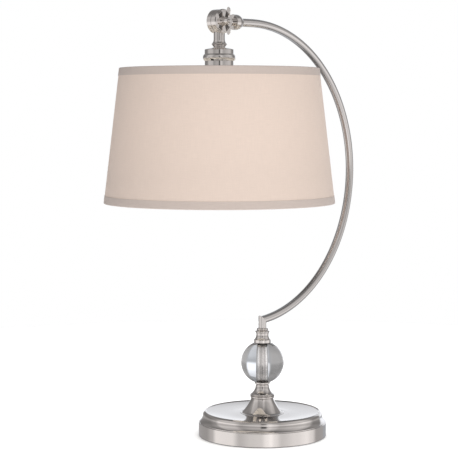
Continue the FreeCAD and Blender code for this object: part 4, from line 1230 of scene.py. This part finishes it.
class LAMP_OT_switch(bpy.types.Operator):
    """Model the fluted switch knob on the side of the lampholder"""

    bl_idname = "lamp.switch"
    bl_label = "Switch knob"

    def execute(self, context):
        low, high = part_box("switch_knob")
        axis = upright_axis("socket_husk")
        height = (low.z + high.z) / 2
        origin = Vector((axis.x, 0, height))
        inner = (axis.x - high.x) / MM
        outer = (axis.x - low.x) / MM - 0.5
        radius = 6.5
        flutes = 14
        knob = turn("switch_knob_piece", [
            (0, inner + 8), (1.5, inner + 8), (1.5, inner), (3.4, inner), (3.9, inner + 3.2),
            (radius, inner + 4.6), (radius, outer - 1.2), (radius - 1.2, outer, 1.2),
            (0, outer + 0.5, (5.3 ** 2 + 0.5 ** 2) / (2 * 0.5)),
        ], origin, -X_AXIS, steps=flutes * 6, ease=0.15 * MM)
        settle(knob)
        edit(knob)
        pick(knob, "verts", lambda vertex: self.in_flute(vertex, origin, flutes, radius, inner))
        bpy.ops.transform.resize(value=(1, 0.9, 0.9), center_override=origin)
        object_mode()
        smooth(knob, 40)
        fit(knob, "switch", *finish_of("phenolic"), "switch_knob")
        refinish("zinc_steel", "switch_shaft")
        return {"FINISHED"}

    def in_flute(self, vertex, origin, flutes, radius, inner):
        away = vertex.co - origin
        if math.hypot(away.y, away.z) < (radius - 0.25) * MM:
            return False
        if -away.x < (inner + 4.7) * MM:
            return False
        place = (math.atan2(away.z, away.y) / math.tau * flutes) % 1
        return 0.3 < place < 0.7


class LAMP_OT_bulb(bpy.types.Operator):
    """Model the opal bulb and finish its cap"""

    bl_idname = "lamp.bulb"
    bl_label = "Bulb"

    def execute(self, context):
        axis = upright_axis("bulb_glass")
        radius, foot, top = turned_size("bulb_glass")
        wall = context.scene.lamp_glass.bulb_wall / MM
        centre = foot + radius
        inner = radius - wall
        neck = 11.2
        low = top - 6.0
        rise = math.sqrt(1 - 0.75 ** 2)
        turned_piece("bulb_glass", [
            (0, foot), (radius, centre, radius), (radius * 0.75, centre + radius * rise, radius),
            (neck + 0.6, low, -75), (neck, top), (neck - wall, top), (neck + 0.6 - wall, low),
            (inner * 0.75, centre + inner * rise, 76), (inner, centre, -inner),
            (0, centre - inner, -inner),
        ], finish_of("opal_glass"), "shade_head", angle=50, origin=axis, ease=0)
        refinish("bulb_metal", "bulb_cap", "bulb_contact")
        refinish("bulb_insulator", "bulb_insulator")
        return {"FINISHED"}


# ---- operators: shade --------------------------------------------------------------------------

class Cone:
    """The shade's outer face, and the depths of the layers under it, in millimetres."""

    def __init__(self, sizes):
        low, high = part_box("shade_bottom_trim")
        self.axis = Vector((middle("shade_bottom_trim").x, 0, 0))
        self.foot = low.z / MM
        self.foot_radius = (high.y - low.y) / 2 / MM
        low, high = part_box("shade_top_trim")
        self.top = high.z / MM
        widest = (high.y - low.y) / 2 / MM
        trim_foot = low.z / MM
        self.taper = (self.foot_radius - widest) / (trim_foot - self.foot)
        self.trim = sizes.trim_thickness / MM
        self.trim_width = sizes.trim_width / MM
        self.trim_fold = sizes.trim_fold / MM
        self.cover = self.trim + sizes.layer_gap / MM
        self.cover_wall = sizes.cover_thickness / MM
        self.liner = self.cover + self.cover_wall + sizes.layer_gap / MM
        self.liner_wall = sizes.liner_thickness / MM
        self.inside = self.liner + self.liner_wall + sizes.layer_gap / MM

    def radius(self, height, depth=0):
        return self.foot_radius - (height - self.foot) * self.taper - depth

    def place(self, point):
        away = point - self.axis
        return point.z, math.atan2(away.y, away.x)

    def flat_cut(self, foot, top, depth):
        """Width, length and area of the flat piece that wraps this stretch of the cone."""
        wide = self.radius(foot, depth) * MM
        narrow = self.radius(top, depth) * MM
        slant = math.hypot((top - foot) * MM, wide - narrow)
        sine = (wide - narrow) / slant
        outer, inner = wide / sine, narrow / sine
        half_angle = math.pi * sine
        width = 2 * outer * math.sin(half_angle)
        length = outer - inner * math.cos(half_angle)
        return width, length, math.pi * (wide + narrow) * slant


class LAMP_OT_shade(bpy.types.Operator):
    """Model the shade's cloth cover with its seam, and the stiff liner under it"""

    bl_idname = "lamp.shade"
    bl_label = "Shade"

    def execute(self, context):
        sizes = context.scene.lamp_shade
        cone = Cone(sizes)
        foot = cone.foot + cone.cover
        top = cone.top - cone.cover
        cover = self.layer("shade_cover_piece", cone, cone.cover, cone.cover_wall, foot, top)
        self.raise_seam(cover, cone, sizes)
        unwrap(cover, cone.place, cone.radius((foot + top) / 2) * MM)
        smooth(cover)
        fit(cover, "shade_head", *finish_of("shade_cloth"), "shade_cover")
        width, length, area = cone.flat_cut(foot, top, cone.cover)
        liner = self.layer("shade_liner_piece", cone, cone.liner, cone.liner_wall, foot, top)
        smooth(liner)
        fit(liner, "shade_head", *finish_of("shade_liner"), "shade_liner")
        return {"FINISHED"}

    def layer(self, name, cone, depth, wall, foot, top):
        rows = 8
        heights = [foot + (top - foot) * row / rows for row in range(rows + 1)]
        outline = [(cone.radius(height, depth), height) for height in heights]
        outline += [(cone.radius(height, depth + wall), height) for height in heights[::-1]]
        return turn(name, outline, cone.axis, steps=240, ease=0)

    def raise_seam(self, cover, cone, sizes):
        """Lift a narrow upright strip of the outer face, where the cloth laps over itself."""
        settle(cover)
        edit(cover, "FACE")
        reach = sizes.seam_width / 2 / (cone.foot_radius * MM)
        skin = cone.cover + cone.cover_wall / 2

        def on_seam(face):
            spot = face.calc_center_median()
            away = spot - cone.axis
            turned = (math.atan2(away.y, away.x) - sizes.seam_angle + math.pi) % math.tau - math.pi
            outside = math.hypot(away.x, away.y) > cone.radius(spot.z / MM, skin) * MM
            return outside and abs(turned) < reach and abs(face.normal.z) < 0.5

        pick(cover, "faces", on_seam)
        bpy.ops.mesh.extrude_region_shrink_fatten(
            TRANSFORM_OT_shrink_fatten={"value": sizes.seam_rise})
        object_mode()


class LAMP_OT_shade_trims(bpy.types.Operator):
    """Model the folded strips over the shade's edges"""

    bl_idname = "lamp.shade_trims"
    bl_label = "Shade trims"

    def execute(self, context):
        cone = Cone(context.scene.lamp_shade)
        self.fold("shade_top_trim", cone, cone.top, 1)
        self.fold("shade_bottom_trim", cone, cone.foot, -1)
        return {"FINISHED"}

    def fold(self, node, cone, edge, side):
        """A strip folded over one edge; side is +1 at the top and -1 at the bottom."""
        thick, inside = cone.trim, cone.inside
        fold = edge - thick * side
        outer_end = edge - cone.trim_width * side
        inner_end = edge - cone.trim_fold * side
        round_over = 1.4 * side
        points = [
            (cone.radius(outer_end), outer_end),
            (cone.radius(edge - 0.9 * side), edge - 0.9 * side),
            (cone.radius(edge, 0.9), edge, round_over),
            (cone.radius(edge, inside + thick - 0.4), edge),
            (cone.radius(edge - 0.5 * side, inside + thick), edge - 0.5 * side, 0.6 * side),
            (cone.radius(inner_end, inside + thick), inner_end),
            (cone.radius(inner_end, inside), inner_end), (cone.radius(fold, inside), fold),
            (cone.radius(fold, thick), fold), (cone.radius(outer_end, thick), outer_end),
        ]
        trim = turn(f"{node}_piece", points, cone.axis, steps=240, ease=0)
        settle(trim)
        unwrap(trim, cone.place, cone.radius(edge) * MM)
        smooth(trim, 40)
        fit(trim, "shade_head", *finish_of("shade_trim"), node)
        length = math.tau * cone.radius(edge) * MM


class LAMP_OT_shade_frame(bpy.types.Operator):
    """Model the wire rings and the three spider arms that hold the shade"""

    bl_idname = "lamp.shade_frame"
    bl_label = "Shade frame"

    def execute(self, context):
        for node in ("shade_top_wire", "shade_bottom_wire"):
            self.model_ring(node)
        self.model_spider()
        return {"FINISHED"}

    def model_ring(self, node):
        low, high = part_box(node)
        wire = (high.z - low.z) / 2
        round_radius = half_width(node, 1) - wire
        ring = hoop(
            f"{node}_piece", wire, middle(node) + X_AXIS * round_radius,
            rotation=(math.pi / 2, 0, 0), corners=16)
        bpy.ops.mesh.spin(steps=200, angle=math.tau, center=middle(node), axis=Z_AXIS)
        weld_and_leave()
        smooth(ring, 60)
        fit(ring, "shade_head", *finish_of("white_wire"), node)

    def model_spider(self):
        """One arm drawn out of the fitter ring, bent up to the top ring, then copied."""
        axis = upright_axis("shade_fitter_ring")
        low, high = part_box("shade_fitter_ring")
        level = (low.z + high.z) / 2
        wire = 1.6 * MM
        curve, bend = 22 * MM, 118 * MM
        start = high.x - axis.x
        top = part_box("shade_top_wire")
        ring_wire, clearance, drop = 1.5 * MM, 1.7 * MM, 0.8 * MM
        tip = Vector((
            top[1].x - axis.x - ring_wire - clearance, (top[0].z + top[1].z) / 2 - drop))
        climb = math.atan2(tip.y - level, tip.x - bend)
        setback = curve * math.tan(climb / 2)
        rod = hoop(
            "rod", wire, axis + Vector((start, 0, level)), rotation=(0, math.pi / 2, 0), corners=16)
        bpy.ops.mesh.edge_face_add()
        extrude((bend - setback - start, 0, 0))
        bpy.ops.mesh.delete(type="ONLY_FACE")
        reach = axis.x + bend - setback - MM / 100
        pick(rod, "verts", lambda vertex: vertex.co.x > reach)
        bpy.ops.mesh.spin(
            steps=12, angle=climb, axis=Y_AXIS,
            center=axis + Vector((bend - setback, 0, level + curve)))
        rest = Vector((
            tip.x - bend - setback * math.cos(climb), 0, tip.y - level - setback * math.sin(climb)))
        extrude(rest)
        bpy.ops.mesh.edge_face_add()
        weld_and_leave()
        smooth(rod, 50)
        for number in range(3):
            arm = rod.copy()
            arm.data = rod.data.copy()
            arm.name = f"spider_arm_{number + 1}_piece"
            bpy.context.collection.objects.link(arm)
            edit(arm)
            select_all()
            bpy.ops.transform.rotate(
                value=-math.radians(120) * number, orient_axis="Z", center_override=axis)
            object_mode()
            fit(arm, "shade_head", *finish_of("white_wire"), f"spider_arm_{number + 1}")
        bpy.data.objects.remove(rod)


# ---- operator: floor, light and camera ---------------------------------------------------------

class LAMP_OT_stage(bpy.types.Operator):
    """Make the pale floor, the soft lights and the camera"""

    bl_idname = "lamp.stage"
    bl_label = "Stage"

    # The ring of panels: angle from the camera's side in degrees, right positive, and brightness.
    panels = [
        (-180, 0.46), (-150, 0.42), (-122, 0.42), (-104, 0.60), (-92, 1.08), (-58, 1.05),
        (-42, 0.66), (-20, 0.82), (-4, 0.86), (7, 1.15), (14, 1.28), (22, 1.05), (34, 0.78),
        (62, 0.98), (86, 1.14), (100, 0.95), (114, 0.46), (180, 0.46),
    ]
    # Share of that brightness from straight down (0) through level (0.5) to straight up (1).
    heights = [
        (0.0, 0.22), (0.08, 0.6), (0.2, 0.8), (0.32, 0.98), (0.43, 1.0), (0.5, 0.64), (0.6, 0.55),
        (0.72, 0.72), (0.85, 0.55), (0.97, 0.22),
    ]
    # The dark bar in front of the lamp: how dark it is round the ring, and from foot to head.
    dark_bar = [(0.484, 0.0), (0.494, 0.8), (0.514, 0.8), (0.526, 0.0)]
    bar_heights = [(0.45, 0.0), (0.5, 1.0), (0.7, 1.0), (0.8, 0.0)]
    # The backdrop's brightness, from a little under level to a little over it.
    backdrop = [
        (0.0, 0.62), (0.24, 0.46), (0.36, 1.2), (0.56, 1.2), (0.68, 1.0), (0.9, 0.8), (1.0, 0.3),
    ]
    # Which part of the ring is the backdrop behind the lamp.
    behind_lamp = [(0.0, 0.9), (0.02, 0.9), (0.055, 0.0), (0.875, 0.0), (0.91, 1.0), (1.0, 0.9)]
    panel_tint = (1.0, 0.972, 0.965)
    backdrop_tint = (0.955, 0.985, 1.04)
    # Soft boxes: width, height over the floor, brightness; key_side is towards the camera's right.
    top_width, top_height, top_brightness = 4.0, 2.4, 2.1
    key_width, key_brightness, key_colour = 1.4, 3.5, (1, 0.975, 0.945)
    key_distance, key_side, key_height = 2.6, 0.5, 0.7


    def execute(self, context):
        studio = context.scene.lamp_studio
        self.make_camera(context, studio)
        self.make_floor(studio)
        self.make_surroundings(context, studio)
        self.make_lights(studio)
        context.scene.view_settings.view_transform = "Standard"
        return {"FINISHED"}

    def make_camera(self, context, studio):
        camera = bpy.data.objects.new("camera", bpy.data.cameras.new("camera"))
        context.scene.collection.objects.link(camera)
        camera.data.lens = studio.camera_lens
        camera.location = studio.camera_place
        upright = math.pi / 2
        camera.rotation_euler = (upright - studio.camera_tilt, 0, studio.camera_heading - upright)
        context.scene.camera = camera

    def make_floor(self, studio):
        pass_over()
        bpy.ops.mesh.primitive_circle_add(
            vertices=96, radius=studio.floor_radius, fill_type="NGON", location=(0, 0, 0))
        floor = bpy.context.object
        floor.name = "floor"
        floor.visible_glossy = False
        floor.visible_transmission = False
        # Matt white paper: a faint tooth, and no colour of its own.
        floor.data.materials.append(plain_surface(
            "white_paper", linear("F4F4F4"), 0.9, 1.5 * MM, 0.05 * MM, mottling=0.02,
            Specular_IOR_Level=0.1))

    def make_surroundings(self, context, studio):
        """White to look at. The metal mirrors a ring of soft pale panels with gaps between."""
        world = bpy.data.worlds.new("studio")
        context.scene.world = world
        world.use_nodes = True
        tree = world.node_tree
        tree.nodes.clear()
        way = add_node(tree, "ShaderNodeTexCoord").outputs["Generated"]
        turned = add_node(
            tree, "ShaderNodeVectorRotate",
            {"Vector": way, "Angle": math.pi - studio.camera_heading}, rotation_type="Z_AXIS")
        split = add_node(tree, "ShaderNodeSeparateXYZ", {"Vector": turned.outputs["Vector"]})
        up = split.outputs["Z"]
        angle = work_out(tree, "ARCTAN2", split.outputs["Y"], split.outputs["X"])
        share = spread(tree, angle, 0.0, 1.0, -math.pi, math.pi)
        level = spread(tree, up, 0.0, 1.0, -1.0, 1.0)
        ring = self.ramp(tree, share, [(spot / 360 + 0.5, value) for spot, value in self.panels])
        band = work_out(tree, "MULTIPLY", ring, self.ramp(tree, level, self.heights))
        behind = self.ramp(tree, share, self.behind_lamp)
        low_band = self.ramp(tree, spread(tree, up, 0.0, 1.0, -0.4, 0.5), self.backdrop)
        light = work_out(tree, "MAXIMUM", band, work_out(tree, "MULTIPLY", behind, low_band))
        bar = work_out(
            tree, "MULTIPLY", self.ramp(tree, share, self.dark_bar),
            self.ramp(tree, level, self.bar_heights))
        glow = work_out(tree, "MULTIPLY", light, work_out(tree, "SUBTRACT", 1.0, bar))
        tint = shade_between(tree, behind, self.panel_tint, self.backdrop_tint)
        room = add_node(
            tree, "ShaderNodeBackground", {"Color": tint, "Strength": glow})
        paper = add_node(tree, "ShaderNodeBackground", {"Color": (1, 1, 1, 1), "Strength": 1.0})
        seen = add_node(tree, "ShaderNodeLightPath").outputs["Is Camera Ray"]
        both = add_node(
            tree, "ShaderNodeMixShader",
            {0: seen, 1: room.outputs["Background"], 2: paper.outputs["Background"]})
        add_node(tree, "ShaderNodeOutputWorld", {"Surface": both.outputs["Shader"]})

    def ramp(self, tree, share, stops):
        """A value that runs through some (place, value) stops."""
        node = add_node(tree, "ShaderNodeValToRGB", {"Fac": share})
        node.color_ramp.interpolation = "EASE"
        elements = node.color_ramp.elements
        while len(elements) < len(stops):
            elements.new(0.5)
        for element, (place, value) in zip(elements, stops):
            element.position = place
            element.color = (value, value, value, 1.0)
        return node.outputs["Color"]

    def make_lights(self, studio):
        """A soft box overhead for the floor alone, and a soft key from the camera's right."""
        heading = studio.camera_heading
        towards = -Vector((math.cos(heading), math.sin(heading), 0))
        right = Vector((math.sin(heading), -math.cos(heading), 0))
        top = self.soft_box(
            "top_box", Z_AXIS * self.top_height, -Z_AXIS, self.top_width, self.top_brightness,
            (1, 1, 1))
        floor_only = bpy.data.collections.new("lit_from_overhead")
        floor_only.objects.link(bpy.data.objects["floor"])
        top.light_linking.receiver_collection = floor_only
        place = towards * self.key_distance + right * self.key_side + Z_AXIS * self.key_height
        self.soft_box(
            "key_box", place, -place.normalized(), self.key_width, self.key_brightness,
            self.key_colour)

    def soft_box(self, name, place, facing, width, brightness, colour):
        """A square light whose face has the given brightness. Only what it lights shows it."""
        light = bpy.data.lights.new(name, "AREA")
        light.shape = "RECTANGLE"
        light.size = light.size_y = width
        watts_per_area = 4.0
        light.energy = watts_per_area * brightness * width * width
        light.color = colour
        box = bpy.data.objects.new(name, light)
        bpy.context.scene.collection.objects.link(box)
        box.location = place
        box.rotation_euler = facing.to_track_quat("-Z", "Y").to_euler()
        box.visible_camera = box.visible_glossy = box.visible_transmission = False
        return box


OPERATORS = [
    LAMP_OT_stage,
    LAMP_OT_base,
    LAMP_OT_neck,
    LAMP_OT_ball,
    LAMP_OT_arm,
    LAMP_OT_knuckle,
    LAMP_OT_wing_nut,
    LAMP_OT_lampholder,
    LAMP_OT_switch,
    LAMP_OT_bulb,
    LAMP_OT_shade,
    LAMP_OT_shade_trims,
    LAMP_OT_shade_frame,
]


class LAMP_PT_pieces(bpy.types.Panel):
    """The lamp's pieces, sizes and colours"""

    bl_idname = "LAMP_PT_pieces"
    bl_label = "Table Lamp"
    bl_space_type = "VIEW_3D"
    bl_region_type = "UI"
    bl_category = "Lamp"

    def draw(self, context):
        for operator in OPERATORS:
            self.layout.operator(operator.bl_idname)
        for name, group in GROUPS.items():
            box = self.layout.box()
            box.label(text=group.__doc__)
            for size in group.__annotations__:
                box.prop(getattr(context.scene, name), size)


def register():
    for group in GROUPS.values():
        bpy.utils.register_class(group)
    for name, group in GROUPS.items():
        setattr(bpy.types.Scene, name, PointerProperty(type=group))
    for operator in OPERATORS:
        bpy.utils.register_class(operator)
    bpy.utils.register_class(LAMP_PT_pieces)


def unregister():
    bpy.utils.unregister_class(LAMP_PT_pieces)
    for operator in reversed(OPERATORS):
        bpy.utils.unregister_class(operator)
    for name in GROUPS:
        delattr(bpy.types.Scene, name)
    for group in reversed(GROUPS.values()):
        bpy.utils.unregister_class(group)


def main():
    register()
    for operator in OPERATORS:
        family, action = operator.bl_idname.split(".")
        getattr(getattr(bpy.ops, family), action)()


if __name__ == "__main__":
    main()
